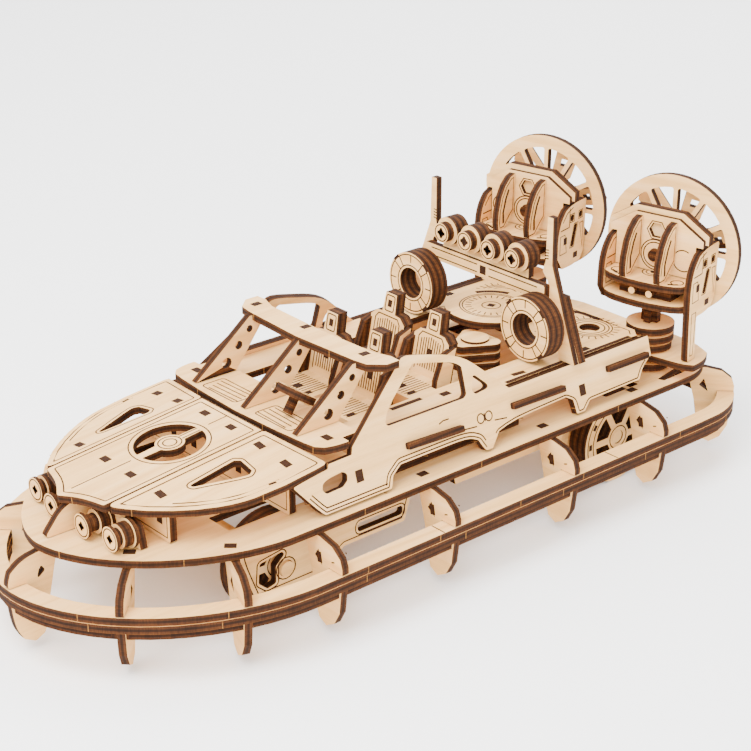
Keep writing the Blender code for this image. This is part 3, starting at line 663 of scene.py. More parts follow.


# Trim: engraving, tab ends, sprue marks and painted shade of holes

class Trim:
    """Engraved lines, tab ends and marks of one body, gathered into one piece."""

    def __init__(self, name, body):
        self.name = name
        self.body = body
        self.parts = []
        self.wood = bpy.context.scene.hovercraft_wood

    def score(self, surface, lines, width=None, rise=0.0):
        """Engraves lines of u and v points on a surface, or on a step that rises above it."""
        verts = []
        edges = []
        for line in lines:
            first = len(verts)
            joined = len(line) > 3 and math.dist(line[0], line[-1]) < 1e-6
            points = line[:-1] if joined else line
            verts += [(u * MM, v * MM, rise * MM) for u, v in points]
            edges += [(first + i, first + i + 1) for i in range(len(points) - 1)]
            if joined:
                edges.append((len(verts) - 1, first))
        mesh = bpy.data.meshes.new("lines")
        mesh.from_pydata(verts, edges, [])
        made = grown(mesh, TREES["score"], {"Width": width * MM if width else self.wood.score_width,
                                            "Height": 2.0 * self.wood.score_height,
                                            "Material": MATERIALS["score"]})
        self.keep(made, surface, "score")

    def blocks(self, surface, spots, kind="tab", height=None, drop=0.0):
        """Small blocks on a surface: rows of u, v, size along u, size along v and turn in degrees."""
        mesh = bpy.data.meshes.new("spots")
        mesh.from_pydata([(row[0] * MM, row[1] * MM, -drop * MM) for row in spots], [], [])
        size = mesh.attributes.new("size", "FLOAT_VECTOR", "POINT")
        turn = mesh.attributes.new("turn", "FLOAT_VECTOR", "POINT")
        for i, row in enumerate(spots):
            size.data[i].vector = (row[2] * MM, row[3] * MM, 0.0)
            turn.data[i].vector = (0.0, 0.0, math.radians(row[4] if len(row) > 4 else 0.0))
        made = grown(mesh, TREES["block"], {"Height": height * MM if height else 2.0 * self.wood.tab_height,
                                            "Material": MATERIALS[kind]})
        self.keep(made, surface, kind)

    def keep(self, mesh, surface, kind):
        mesh.transform(surface.matrix())
        self.parts.append((mesh, kind))
        self.slot = surface.node

    def finish(self):
        """Joins the parts and lets them ride on the body."""
        kinds = sorted({kind for _, kind in self.parts})
        editable = bmesh.new()
        for mesh, kind in self.parts:
            count = len(editable.faces)
            editable.from_mesh(mesh)
            editable.faces.ensure_lookup_table()
            for face in editable.faces[count:]:
                face.material_index = kinds.index(kind)
                face.smooth = False
            bpy.data.meshes.remove(mesh)
        bmesh.ops.recalc_face_normals(editable, faces=editable.faces)
        return add_piece(self.name, editable, self.body, [MATERIALS[kind] for kind in kinds], self.slot)


def add_piece(name, editable, body, materials, slot):
    """Turns a working mesh into a piece that rides on a body."""
    mesh = bpy.data.meshes.new(name)
    editable.to_mesh(mesh)
    editable.free()
    for material in materials:
        mesh.materials.append(material)
    thing = add_to_scene(name, mesh)
    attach(thing, body)
    return thing


# Dressed sheets

def sheet_mesh(source=None):
    """An empty mesh, or a copy of one, with the layers that dress fills."""
    editable = source.copy() if source else bmesh.new()
    editable.faces.layers.float.new("cut_edge")
    editable.loops.layers.uv.new("sheet_mm")
    return editable


def widest_direction(editable):
    """The direction that the largest area of a piece faces, either way."""
    areas = {}
    for face in editable.faces:
        normal = face.normal if max(face.normal, key=abs) > 0.0 else -face.normal
        key = tuple(round(value, 1) for value in normal)
        area, total = areas.get(key, (0.0, Vector((0.0, 0.0, 0.0))))
        areas[key] = (area + face.calc_area(), total + normal * face.calc_area())
    return max(areas.values(), key=lambda row: row[0])[1].normalized()


def width_of(face):
    """Width of a face across its longest edge."""
    longest = max(face.edges, key=lambda edge: edge.calc_length())
    across = (longest.verts[1].co - longest.verts[0].co).normalized().cross(face.normal)
    reach = [corner.vert.co.dot(across) for corner in face.loops]
    return max(reach) - min(reach)


def is_one_sheet_thick(face, tree, thickness):
    """True where some of the wood under a face is one sheet thick."""
    skin = 0.02 * MM
    corners = [corner.vert.co for corner in face.loops]
    for triangle in tessellate_polygon([corners]):
        place = sum((corners[i] for i in triangle), Vector((0.0, 0.0, 0.0))) / 3.0
        found, normal, _, distance = tree.ray_cast(place - face.normal * skin, -face.normal)
        if found is None:
            continue
        if abs(distance + skin - thickness) < 3.0 * skin and normal.dot(face.normal) < -0.99:
            return True
    return False


def is_fused_sheet(name, face, tree, thickness):
    """True for the sanded sides of a node whose sheets face more than one way."""
    width = width_of(face)
    if name.startswith("seat"):
        return width > 1.8 * thickness
    if width < 1.05 * thickness:
        return False
    is_flat_and_large = abs(face.normal.z) > 0.99 and face.calc_area() > 50.0 * MM * MM
    return is_flat_and_large or is_one_sheet_thick(face, tree, thickness)


def sanded_faces(name, editable):
    """The faces of a solid that are sanded sides of its sheets, not cut edges."""
    if name.startswith(FUSED):
        thickness = bpy.context.scene.hovercraft_wood.sheet_thickness
        tree = BVHTree.FromBMesh(editable)
        return {face for face in editable.faces if is_fused_sheet(name, face, tree, thickness)}
    direction = widest_direction(editable)
    return {face for face in editable.faces if "axle" in name or abs(face.normal.dot(direction)) > 0.97}


def sheets_beside(editable, sanded):
    """For each face the sheet that it belongs to: the way its sanded side faces, and a point of that side."""
    known = {face: (face.normal.copy(), face.verts[0].co.copy()) for face in editable.faces if face in sanded}
    for _ in range(4):
        found = {}
        for face in editable.faces:
            if face in known:
                continue
            near = [(edge.calc_length(), other) for edge in face.edges for other in edge.link_faces
                    if other in known and abs(known[other][0].dot(face.normal)) < 0.3]
            if near:
                found[face] = known[max(near, key=lambda row: row[0])[1]]
        known.update(found)
    return known


def dress(name, editable, draw, rims=None):
    """Marks the burnt edges of a plywood shape and maps both kinds of side in millimetres.

    rims gives each burnt face the places of its corners on the map, where they are known.
    """
    upright = Vector((0.0, 0.0, 1.0))
    cut = editable.faces.layers.float["cut_edge"]
    sheet = editable.loops.layers.uv["sheet_mm"]
    shift_along, shift_across = draw.uniform(0.0, GRAIN_SHIFT), draw.uniform(0.0, GRAIN_SHIFT)
    if rims is None:
        sanded = sanded_faces(name, editable)
        beside = sheets_beside(editable, sanded)
    else:
        sanded = {face for face in editable.faces if face not in rims}
    for face in editable.faces:
        face[cut] = 0.0 if face in sanded else 1.0
        if face in sanded:
            lies_flat = abs(face.normal.z) > 0.7
            along = Vector((1.0, 0.0, 0.0)) if lies_flat else upright.cross(face.normal).normalized()
            across = Vector((0.0, 1.0, 0.0)) if lies_flat else upright
        elif rims is None:
            plate, start = beside.get(face, (upright, face.verts[0].co))
            tangent = face.normal.cross(plate)
        for corner in face.loops:
            place = corner.vert.co
            if face in sanded:
                spot = (place.dot(along) / MM + shift_along, place.dot(across) / MM + shift_across)
            elif rims is None:
                spot = (place.dot(tangent) / MM + shift_along, (start - place).dot(plate) / MM)
            else:
                travelled, depth = rims[face][corner.vert]
                spot = (travelled + shift_along, depth)
            corner[sheet].uv = spot
    return editable


def sheet(editable, rims, surface, radius, thickness, on_edge=False):
    """Adds the sheet under a surface to a mesh, its outlines curved and its corners rounded.

    A sheet on edge shows its plies on the surface.
    """
    outer, *others = surface.outlines()
    if on_edge:
        loops = [eased(loop, radius) for loop in (outer, *others)]
    else:
        loops = [eased(outer, radius)] + openings(surface.node, surface, radius)
    matrix = surface.matrix()
    sides = []
    for height in (-thickness, 0.0):
        sides.append([[editable.verts.new(matrix @ Vector((u * MM, v * MM, height * MM))) for u, v in loop]
                      for loop in loops])
    lower, upper = ([vert for rim in rims_of_side for vert in rim] for rims_of_side in sides)
    flat_points = [point for loop in loops for point in loop]
    for a, b, c in tessellate_polygon([[Vector((u, v, 0.0)) for u, v in loop] for loop in loops]):
        editable.faces.new((lower[a], lower[b], lower[c]))
        face = editable.faces.new((upper[a], upper[b], upper[c]))
        if on_edge:
            rims[face] = {upper[i]: flat_points[i] for i in (a, b, c)}
    for loop, below, above in zip(loops, *sides):
        travelled = 0.0
        for i in range(len(loop)):
            j = (i + 1) % len(loop)
            onward = travelled + math.dist(loop[i], loop[j])
            face = editable.faces.new((below[i], below[j], above[j], above[i]))
            rims[face] = {below[i]: (travelled, thickness), above[i]: (travelled, 0.0),
                          below[j]: (onward, thickness), above[j]: (onward, 0.0)}
            travelled = onward


def openings(node, surface, radius):
    """Openings of a sheet, clockwise: those of its solid, or the photo's own where they are finer."""
    side = -1 if node.endswith("starboard") else 1
    solid = surface.outlines()[1:]
    if node == "hood_centre":
        half = ring(HOOD_DISC_X, 0.0, HOOD_DISC_RADIUS, 7.0, 173.0, 24)
        half += ring(HOOD_DISC_X, 0.0, 5.6, 160.0, 20.0, 12)
        made = [eased(half, 0.5), eased([(u, -v) for u, v in half], 0.5)]
    elif node.startswith("hood_") and "frame" not in node:
        made = [eased([(u, side * v) for u, v in HOOD_WEDGE], 1.2)]
    elif node.startswith("hull_side_front"):
        round_holes = [hole for hole in solid if len(hole) > 8]
        made = [eased(HULL_KIDNEY, 1.2), eased(HULL_SLOT, 1.6), *round_holes]
    elif node.startswith("body_side"):
        made = [eased(hole, 1.6) for hole in solid]
    else:
        made = [eased(hole, radius) for hole in solid]
    return [hole[::-1] if area_of(hole) > 0.0 else hole for hole in made]


def sheet_layers(node):
    """The surfaces that a node is rebuilt from, each with its corner radius and thickness, or nothing."""
    full = bpy.context.scene.hovercraft_wood.sheet_thickness / MM
    side = -1 if node.endswith("starboard") else 1
    outward, inward = ("port", "starboard") if side > 0 else ("starboard", "port")
    base = nacelle_base(side)
    if node.startswith("body_side"):
        return [(Surface(node, inward), 0.7, full), (Surface(node, outward, rank=1), 0.6, RUB_STRIP_DEPTH)]
    if node.startswith(("nacelle_side_outer", "nacelle_side_inner")):
        return [(Surface(node, "port", base), 1.0, full)]
    if node.startswith("fan_ring"):
        return [(Surface(node, "front", base), 1.2, full)]
    if node.startswith("steering_arm"):
        return [(Surface(node, "top"), 1.5, full)]
    for facing, radius, names in SHEETS:
        if node.startswith(names):
            return [(Surface(node, facing), radius, full)]
    return []


def rebuild_node(node, layers, draw):
    """Replaces a node by the same sheets with curved outlines and rounded corners."""
    editable = sheet_mesh()
    rims = {}
    for i, (surface, radius, thickness) in enumerate(layers):
        sheet(editable, rims, surface, radius, thickness, on_edge=i > 0)
    bmesh.ops.recalc_face_normals(editable, faces=editable.faces)
    editable.normal_update()
    dress(node, editable, draw, rims)
    thing = add_piece(node + "_birch", editable, frame["nodes"][node]["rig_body"], [MATERIALS["wood"]], node)
    smooth_rims(thing)
    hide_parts(node)


def smooth_rims(thing):
    """Shades curved edges smooth and keeps corners sharp."""
    for polygon in thing.data.polygons:
        polygon.use_smooth = True
    thing.data.set_sharp_from_angle(angle=SHARP_EDGE)


def dress_node(node, draw):
    """Replaces a node by its rebuilt sheets, or by a dressed copy of its own form."""
    layers = sheet_layers(node)
    if layers:
        rebuild_node(node, layers, draw)
        return
    editable = sheet_mesh(merged(node))
    dress(node, editable, draw)
    body = frame["nodes"][node]["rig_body"]
    thing = add_piece(node + "_birch", editable, body, [MATERIALS["wood"]], node)
    if any(word in node for word in ROUND):
        smooth_rims(thing)
    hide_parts(node)


def slab(editable, outline, near, far, matrix):
    """Adds a closed plate to a mesh, its outline in u and v, its sides at two heights."""
    lower = [editable.verts.new(matrix @ Vector((u * MM, v * MM, near * MM))) for u, v in outline]
    upper = [editable.verts.new(matrix @ Vector((u * MM, v * MM, far * MM))) for u, v in outline]
    editable.faces.new(lower[::-1])
    editable.faces.new(upper)
    for i in range(len(outline)):
        j = (i + 1) % len(outline)
        editable.faces.new((lower[i], lower[j], upper[j], upper[i]))


def wooden_piece(name, body, slabs, slot):
    """A small plywood piece made of slabs, each an outline, two heights and a matrix."""
    editable = sheet_mesh()
    for outline, near, far, matrix in slabs:
        slab(editable, outline, near, far, matrix)
    bmesh.ops.recalc_face_normals(editable, faces=editable.faces)
    dress(name, editable, random.Random(len(name)))
    return add_piece(name, editable, body, [MATERIALS["wood"]], slot)


# Engraving tables: tab ends are u, v, their two sizes, and a turn in degrees if any

HOOD_TABS = ((75.6, 8.1, 3.0, 4.2), (120.3, 8.1, 3.0, 4.2))
HOOD_SIDE_TABS = ((75.8, 25.5, 3.0, 4.2), (75.2, 40.0, 3.0, 4.2), (119.9, 25.9, 3.0, 4.2),
                  (86.0, 46.0, 3.0, 0.9, -10.0))
HOOD_FRAME_TABS = ((14.0, 50.0, 3.2, 4.4), (27.0, 50.0, 3.2, 4.4))
BODY_TABS = ((49.9, 51.6, 3.4, 4.4), (-68.2, 51.1, 3.4, 4.4))
DECK_TABS = ((135.3, 28.0, 4.4, 3.2, -40.0), (106.2, 47.4, 4.4, 3.2, -40.0), (18.0, 50.4, 4.4, 3.2),
             (-46.4, 50.5, 4.4, 3.2), (-99.4, 50.4, 4.4, 3.2))
UPPER_DECK_TABS = ((-101.0, 12.0, 4.2, 3.0), (-76.0, 33.0, 3.0, 4.2), (-80.0, 40.5, 4.2, 3.0),
                   (-6.9, 35.5, 4.4, 3.0))
ROOF_TABS = ((29.1, -36.0, 4.0, 3.0), (29.1, -5.0, 4.0, 3.0), (29.1, 29.6, 4.0, 3.0))
NACELLE_SIDE_TABS = ((-6.6, 73.9, 3.4, 2.6), (2.6, 82.6, 2.6, 3.2))
NACELLE_FLOOR_TABS = ((0.5, 0.0, 2.2, 2.2, 45.0), (9.0, 13.6, 1.2, 4.4, 30.0), (9.0, -13.6, 1.2, 4.4, -30.0))

# deep grooves of the upper deck's port half, each with its width
UPPER_DECK_GROOVES = (
    (2.6, ((-106.0, 7.0), (-108.0, 13.0), (-108.4, 23.0))),
    (2.0, ((-32.0, 43.5), (-104.0, 43.5))),
    (2.2, ((18.6, 32.7), (3.0, 32.7))),
    (2.4, ((-45.4, 40.6), (-39.0, 39.8))),
)
# the ringed round mark at each rear corner of the upper deck
DECK_EYE = (-98.6, 26.0)

# bolt heads and short lines on a body side
BODY_BOLTS = ((-12.3, 55.1), (-16.5, 55.0))
BODY_LINES = (
    ((-14.4, 56.6), (-14.4, 53.5)),
    ((-19.2, 52.6), (-25.6, 51.8)),
    ((-3.0, 53.4), (-9.7, 52.8)),
    ((8.6, 58.8), (6.4, 59.5), (3.4, 59.4)),
)

SEAT_Y = 13.2
SEAT_TOP = 59.0
HEADREST_Z = 81.2

# lamp heads at the bow: y, and x of the front
BOW_LAMPS = ((-24.5, 140.6), (-10.0, 143.0), (10.0, 143.0), (24.5, 140.8))
BOW_LAMP_Z = 47.0
SEARCHLIGHT_Y = (-20.6, -6.8, 6.8, 20.6)
SEARCHLIGHT_Z = 101.4
SEARCHLIGHT_FRONT_X = -56.0

# radii of the rings on a lifebuoy, and where its four bands stand
BUOY_RINGS = (12.4, 7.8)
BUOY_BANDS = (45.0, 135.0, 225.0, 315.0)

# lines on a nacelle's side: an upright and a level one, a triangle astern and a panel ahead
NACELLE_SIDE_LINES = (
    ((-0.5, 88.2), (-0.5, 97.0)),
    ((-0.5, 88.2), (6.6, 88.2)),
    ((-12.4, 76.0), (-9.4, 88.0), (-12.4, 88.0), (-12.4, 76.0)),
    ((1.2, 77.0), (6.8, 77.0), (6.8, 85.6), (3.0, 85.6), (1.2, 77.0)),
)
# the panel on the leg of an outer side
NACELLE_LEG_LINE = ((2.6, 72.0), (6.4, 72.0), (5.2, 53.0), (3.0, 53.0), (2.6, 72.0))
# the two fins on a nacelle's floor, and the deep groove on each
NACELLE_FINS = (-8.0, 8.0)
FIN_GROOVE = ((9.0, 87.0), (9.4, 92.0), (7.4, 98.0), (5.2, 101.6))

# ribs on the skirt's straight sides with the hole and ticks of a port one, the hole a wide dark stroke of
# painted shade, and seams of the upper ring
RIBS_X = (73.0, 18.0, -46.4, -99.4)
RIB_HOLE_PAINTED_SHADE = ((58.0, 27.8), (57.2, 32.0))
RIB_TICKS = (((68.6, 35.0), (69.2, 35.0)), ((66.0, 31.0), (64.4, 30.4)))
SKIRT_SEAMS = (((25.0, 63.3), (25.0, 70.4)), ((-70.0, 63.3), (-70.0, 70.4)))
HALF_SHEET = 1.5

# a broken sprue's size along and across the edge, and sheets that show them, with their usual distance
SPRUE_ALONG = 0.3
SPRUE_ACROSS = 0.16
SPRUED = (
    ("skirt_ring_upper", "top", 46.0), ("skirt_ring_middle", "bottom", 46.0), ("deck_plate", "top", 60.0),
    ("hood_port", "top", 34.0), ("hood_starboard", "top", 34.0), ("hood_centre", "top", 34.0),
    ("dash_plate", "top", 34.0), ("windshield_frame", "top", 34.0), ("body_side_port", "port", 34.0),
    ("body_side_starboard", "starboard", 34.0), ("upper_deck", "top", 34.0),
)


# Engraving

def sprue_marks(trim, surface, spacing, draw):
    """Pale broken sprues across the outer cut edge of a sheet, seen as short blocks on its rim."""
    thickness = trim.wood.sheet_thickness / MM
    loop = surface.outlines()[0]
    spots = []
    travelled = draw.uniform(0.0, spacing)
    for here, after in zip(loop, loop[1:] + loop[:1]):
        length = math.dist(here, after)
        turn = math.degrees(math.atan2(after[1] - here[1], after[0] - here[0]))
        while travelled < length:
            share = travelled / length
            u, v = (a + (b - a) * share for a, b in zip(here, after))
            spots.append((u, v, SPRUE_ALONG, SPRUE_ACROSS, turn))
            travelled += spacing * draw.uniform(0.7, 1.4)
        travelled -= length
    if spots:
        trim.blocks(surface, spots, "nub", thickness, thickness / 2.0)


def engrave_hood():
    trim = Trim("hood_engraving", "hull")
    centre = Surface("hood_centre", "top")
    outer = centre.outlines()[0]
    lines = [closed(inset(eased(outer, 3.5), 2.4))]
    lines += runs(inset(outer, 0.25), lambda u, v: abs(v) > 17.0)
    lines += [[(140.0, 0.0), (114.6, 0.0)], [(80.0, 0.0), (71.5, 0.0)]]
    lines += rings(HOOD_DISC_X, 0.0, (15.2,), 48) + rings(HOOD_DISC_X, 0.0, (4.4, 2.6))
    lines += both_lines(((84.5, 1.0), (92.6, 1.0)))
    trim.score(centre, lines)
    trim.blocks(centre, both_spots(HOOD_TABS))
    for side, word in SIDES:
        surface = Surface("hood_" + word, "top")
        outer = eased(surface.outlines()[0], 3.5)
        lines = [closed(inset(outer, 2.2))]
        lines += runs(inset(outer, 4.0), lambda u, v: abs(v) > 28.0 and 78.0 < u < 128.0)
        lines += [closed(inset(hole, 1.3)) for hole in openings(surface.node, surface, 2.0)]
        trim.score(surface, lines)
        trim.blocks(surface, [spot for spot in both_spots(HOOD_SIDE_TABS) if spot[1] * side > 0.0])
    trim.finish()


def engrave_body_sides():
    trim = Trim("body_side_engraving", "hull")
    for _, word in SIDES:
        surface = Surface("body_side_" + word, word)
        outer = eased(surface.outlines()[0], 2.5)
        lines = [*BODY_LINES, *(ring(*bolt, 1.8, steps=24) for bolt in BODY_BOLTS)]
        for distance in (1.7, 3.1):
            lines += runs(inset(outer, distance),
                          lambda u, v: v < (51.5 if u > 55.0 else 55.0) and -13.0 < u < 76.0)
        lines += runs(inset(outer, 1.7), lambda u, v: v < 53.5 and u < -17.0)
        trim.score(surface, lines)
        trim.blocks(surface, BODY_TABS)
    trim.finish()


def engrave_decks():
    trim = Trim("deck_engraving", "hull")
    trim.blocks(Surface("deck_plate", "top"), both_spots(DECK_TABS))

    upper = Surface("upper_deck", "top")
    lines = runs(inset(upper.outlines()[0], 2.4), lambda u, v: u < -66.0)
    lines += both_lines(*rings(*DECK_EYE, (6.4, 8.2, 9.6)), *rays(*DECK_EYE, 10.2, 12.6, 26),
                        ((-78.0, 14.0), (-84.0, 24.0), (-84.0, 34.0), (-79.0, 40.0)),
                        ((-108.0, 12.0), (-96.0, 8.0), (-84.0, 12.0)))
    trim.score(upper, lines)
    for width, groove in UPPER_DECK_GROOVES:
        trim.score(upper, both_lines(groove), width)
    trim.blocks(upper, both_spots(UPPER_DECK_TABS))

    cover = Surface("rear_cover", "top")
    centre = middle_of(cover.outlines()[0])
    trim.score(cover, rings(*centre, (13.6, 12.4, 4.0)) + rays(*centre, 8.6, 11.2, 24))
    trim.score(cover, [ring(*centre, 16.2, 198.0, 250.0, 10)], 2.4)
    trim.blocks(cover, [(*centre, 3.0, 3.0, 20.0)])
    trim.finish()


def engrave_cabin():
    trim = Trim("cabin_engraving", "hull")
    dash = Surface("dash_plate", "top")
    vents = [((54.5 + 2.4 * i, 7.5 - 0.4 * i), (55.1 + 2.4 * i, 25.5 - 0.6 * i)) for i in range(4)]
    trim.score(dash, both_lines(*vents, rounded_box(58.0, 16.5, 10.5, 21.0, 1.5)))
    trim.blocks(dash, both_spots(((56.0, 40.0, 3.2, 4.4),)))
    trim.blocks(Surface("windshield_frame", "top"), ROOF_TABS)
    for row in ("front", "rear"):
        for side, word in SIDES:
            engrave_seat(trim, "seat_%s_%s" % (row, word), side * SEAT_Y)
    trim.finish()


def engrave_seat(trim, node, y):
    """Ribs and piping on a seat's back and cushion, with its tab ends."""
    back = Surface(node, "front")
    lines = [[(y + 1.35 * i, 62.0), (y + 1.35 * i, 75.0 - 0.35 * abs(i))] for i in range(-4, 5)]
    lines += [rounded_box(y, HEADREST_Z, 5.0, 6.4, 0.9)]
    lines += [[(y - 7.2, 60.8), (y - 7.2, 74.0), (y - 5.6, 76.0), (y + 5.6, 76.0), (y + 7.2, 74.0),
               (y + 7.2, 60.8)]]
    trim.score(back, lines)
    trim.blocks(back, [(y, HEADREST_Z, 2.2, 2.8), (y, 68.5, 3.0, 3.6)])
    cushion = Surface(node, "top", level=SEAT_TOP)
    _, far_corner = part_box(node)
    front = far_corner.x / MM
    trim.score(cushion, [[(front - 15.0, y + 1.7 * i), (front - 1.6, y + 1.7 * i)] for i in range(-5, 6)])
    trim.blocks(cushion, [(front - 6.0, y, 3.6, 3.0), (front - 4.4, y + 8.0, 4.0, 2.2),
                          (front - 4.4, y - 8.0, 4.0, 2.2)])


def engrave_arch():
    trim = Trim("arch_engraving", "hull")
    bar = Surface("arch_crossbar", "front")
    trim.score(bar, [[(u, z), (u + 27.6, z)] for u in (-31.0, 3.4) for z in (88.1, 91.4)])
    trim.blocks(bar, [(0.0, 89.8, 3.4, 3.6)])
    for side, word in SIDES:
        mast = Surface("arch_post_" + word, "front")
        trim.score(mast, [[(side * 31.4, z), (side * 33.6, z + 0.4)] for z in (103.0, 104.2, 105.4, 106.6)])
        engrave_lifebuoy(trim, "lifebuoy_" + word)
    lamp = Surface("searchlights", "front", level=SEARCHLIGHT_FRONT_X)
    trim.score(lamp, [ring(y, SEARCHLIGHT_Z, 3.5, steps=24) for y in SEARCHLIGHT_Y])
    # dark crossed blocks in each searchlight: painted shade of its hole
    trim.blocks(lamp, [block for y in SEARCHLIGHT_Y for block in painted_hole_shade(y, SEARCHLIGHT_Z, 3.2)])
    trim.finish()


def engrave_lifebuoy(trim, node):
    """Rings, rays and four dark bands on a lifebuoy's front, and rings on its back."""
    buoy = Surface(node, "front")
    centre = middle_of(buoy.outlines()[0])
    outer, inner = BUOY_RINGS
    lines = rings(*centre, (outer,), 48) + rings(*centre, (inner,), 36)
    bands = []
    for turn in BUOY_BANDS:
        for spread in (-9.0, 9.0):
            lines += rays(*centre, inner, outer, 1, turn + spread)
        _, (u, v) = rays(*centre, 0.0, 13.0, 1, turn)[0]
        bands.append((u, v, 0.8, 3.6, turn))
    lines += rays(*centre, 9.0, outer, 4)
    trim.score(buoy, lines)
    trim.blocks(buoy, bands)
    trim.score(Surface(node, "back"), rings(*centre, (outer,), 48) + rings(*centre, (inner,), 36))


def engrave_nacelles():
    for side, word in SIDES:
        body = "nacelle_" + word
        base = nacelle_base(side)
        trim = Trim(body + "_engraving", body)
        for place in ("outer", "inner"):
            for facing in ("port", "starboard"):
                engrave_nacelle_side(trim, Surface("nacelle_side_%s_%s" % (place, word), facing, base))

        back = Surface("nacelle_back_" + word, "front", base)
        lines = rings(0.0, FAN_Z, (6.6, 5.4))
        lines += [ring(0.0, 102.5, 4.4, steps=6), ring(side * 13.0, FAN_Z, 4.6, 60.0, 300.0, 16)]
        trim.score(back, lines)
        # dark crossed blocks at the fan's axle: painted shade of the hole
        trim.blocks(back, painted_hole_shade(0.0, FAN_Z, 3.2))

        node = "nacelle_floor_" + word
        floor = Surface(node, "top", base, level=84.2)
        trim.score(floor, rings(0.5, 0.0, (4.6, 3.0)) + [ring(6.0, 14.0, 2.6), ring(6.0, -14.0, 2.6)])
        trim.blocks(floor, NACELLE_FLOOR_TABS)
        for across in NACELLE_FINS:
            for facing, level in (("port", across + HALF_SHEET), ("starboard", across - HALF_SHEET)):
                fin = Surface(node, facing, base, level=level)
                trim.score(fin, runs(inset(fin.outlines()[0], 1.2), lambda u, v: v > 85.0 and u > 1.5))
                trim.score(fin, [FIN_GROOVE], 1.3)

        guard = Surface("fan_ring_" + word, "front", base)
        trim.score(guard, rings(0.0, FAN_Z, (7.2,)) + rings(0.0, FAN_Z, (4.6,), 24))
        trim.finish()
        rotor = Trim("fan_%s_engraving" % word, "fan_" + word)
        rotor.score(Surface("fan_rotor_" + word, "back", base, level=-26.4), rings(0.0, FAN_Z, (4.6,), 24))
        rotor.finish()


def engrave_nacelle_side(trim, surface):
    outer, *holes = surface.outlines()
    lines = runs(inset(outer, 1.7), lambda u, v: v > 86.0 and u > -11.0)
    lines += NACELLE_SIDE_LINES
    if "outer" in surface.node:
        lines.append(NACELLE_LEG_LINE)
    # a dark ring hugging each hole's rim: painted shade that makes the hole look darker and larger
    lines += [closed(inset(hole, 0.35)) for hole in holes]
    trim.score(surface, lines)
    trim.blocks(surface, NACELLE_SIDE_TABS)


def engrave_wheels():
    for end in ("front", "rear"):
        trim = Trim(end + "_wheel_engraving", end + "_axle_set")
        for _, word in SIDES:
            node = "%s_wheel_%s" % (end, word)
            low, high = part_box(node)
            hub = ((low.x + high.x) / 2.0 / MM, (low.z + high.z) / 2.0 / MM)
            rim_blocks = []
            for turn in range(0, 360, 30):
                _, (u, v) = rays(*hub, 0.0, 16.8, 1, turn)[0]
                rim_blocks.append((u, v, 1.6, 2.6, turn))
            for facing in ("port", "starboard"):
                surface = Surface(node, facing)
                trim.score(surface, rings(*hub, (15.2, 18.4), 48) + rings(*hub, (5.0,)))
                trim.blocks(surface, rim_blocks)
        trim.finish()


def engrave_hull_sides():
    """Lines round the hull sides and their openings, and on the frames under the hood."""
    trim = Trim("hull_side_engraving", "hull")
    for end in ("front", "rear"):
        for _, word in SIDES:
            surface = Surface("hull_side_%s_%s" % (end, word), word)
            lines = [closed(inset(eased(surface.outlines()[0], 2.5), 1.8))]
            lines += [closed(inset(hole, 1.1)) for hole in openings(surface.node, surface, 1.6)]
            trim.score(surface, lines)
        for facing in ("front", "back"):
            surface = Surface("hood_frame_" + end, facing)
            trim.score(surface, [closed(inset(surface.outlines()[0], 1.6))])
            trim.blocks(surface, [(side * y, *rest) for side in (1, -1) for y, *rest in HOOD_FRAME_TABS])
    trim.finish()


def mark_skirt(draw):
    """Seams of the skirt, rib holes drawn as dark strokes of painted shade, and the broken sprues of all
    larger sheets.
    """
    trim = Trim("skirt_marks", "hull")
    ring_top = Surface("skirt_ring_upper", "top")
    trim.score(ring_top, both_lines(*SKIRT_SEAMS))
    for side, word in SIDES:
        hole, *ticks = [[(side * y, z) for y, z in line] for line in (RIB_HOLE_PAINTED_SHADE, *RIB_TICKS)]
        for x in RIBS_X:
            node = "skirt_frame_%s_%s" % ("bow" if x > 0.0 else "stern", word)
            for facing, level in (("front", x + HALF_SHEET), ("back", x - HALF_SHEET)):
                surface = Surface(node, facing, level=level)
                # the rib hole: a wide dark stroke of painted shade, no opening is cut
                trim.score(surface, [hole], 2.6)
                trim.score(surface, ticks)
    for node, facing, spacing in SPRUED:
        sprue_marks(trim, Surface(node, facing), spacing, draw)
    trim.finish()


# Added wooden pieces

# from u, v and height to the part's frame, for a plate that faces the bow or port
U_ROW, V_ROW, HEIGHT_ROW, LAST_ROW = (tuple(row) for row in Matrix.Identity(4))
TOWARDS_BOW = Matrix((HEIGHT_ROW, U_ROW, V_ROW, LAST_ROW))
TOWARDS_PORT = Matrix((U_ROW, HEIGHT_ROW, V_ROW, LAST_ROW))


def bow_lamp_fronts():
    """Lamp heads at the bow: a wide disc, a neck and a front disc with a dark cross, painted shade for a
    cross-shaped hole.
    """
    slabs = []
    trim = Trim("bow_lamp_crosses", "hull")
    plate = Surface("bow_lamps", "front")
    level = plate.faces[0][2].x / MM
    back = level + 0.15
    for y, front in BOW_LAMPS:
        for radius, near, far in ((5.6, back, back + 1.4), (3.3, back + 1.4, front - 1.3),
                                  (4.7, front - 1.3, front)):
            slabs.append((ring(y, BOW_LAMP_Z, radius, steps=28)[:-1], near, far, TOWARDS_BOW))
        # dark crossed blocks on each lamp front: painted shade of a cross-shaped hole
        trim.blocks(plate, painted_hole_shade(y, BOW_LAMP_Z, 2.5), "tab", 0.24, level - front)
        trim.score(plate, [ring(y, BOW_LAMP_Z, 3.9, steps=24)], rise=front - level)
    wooden_piece("bow_lamp_fronts", "hull", slabs, "bow_lamps")
    trim.finish()


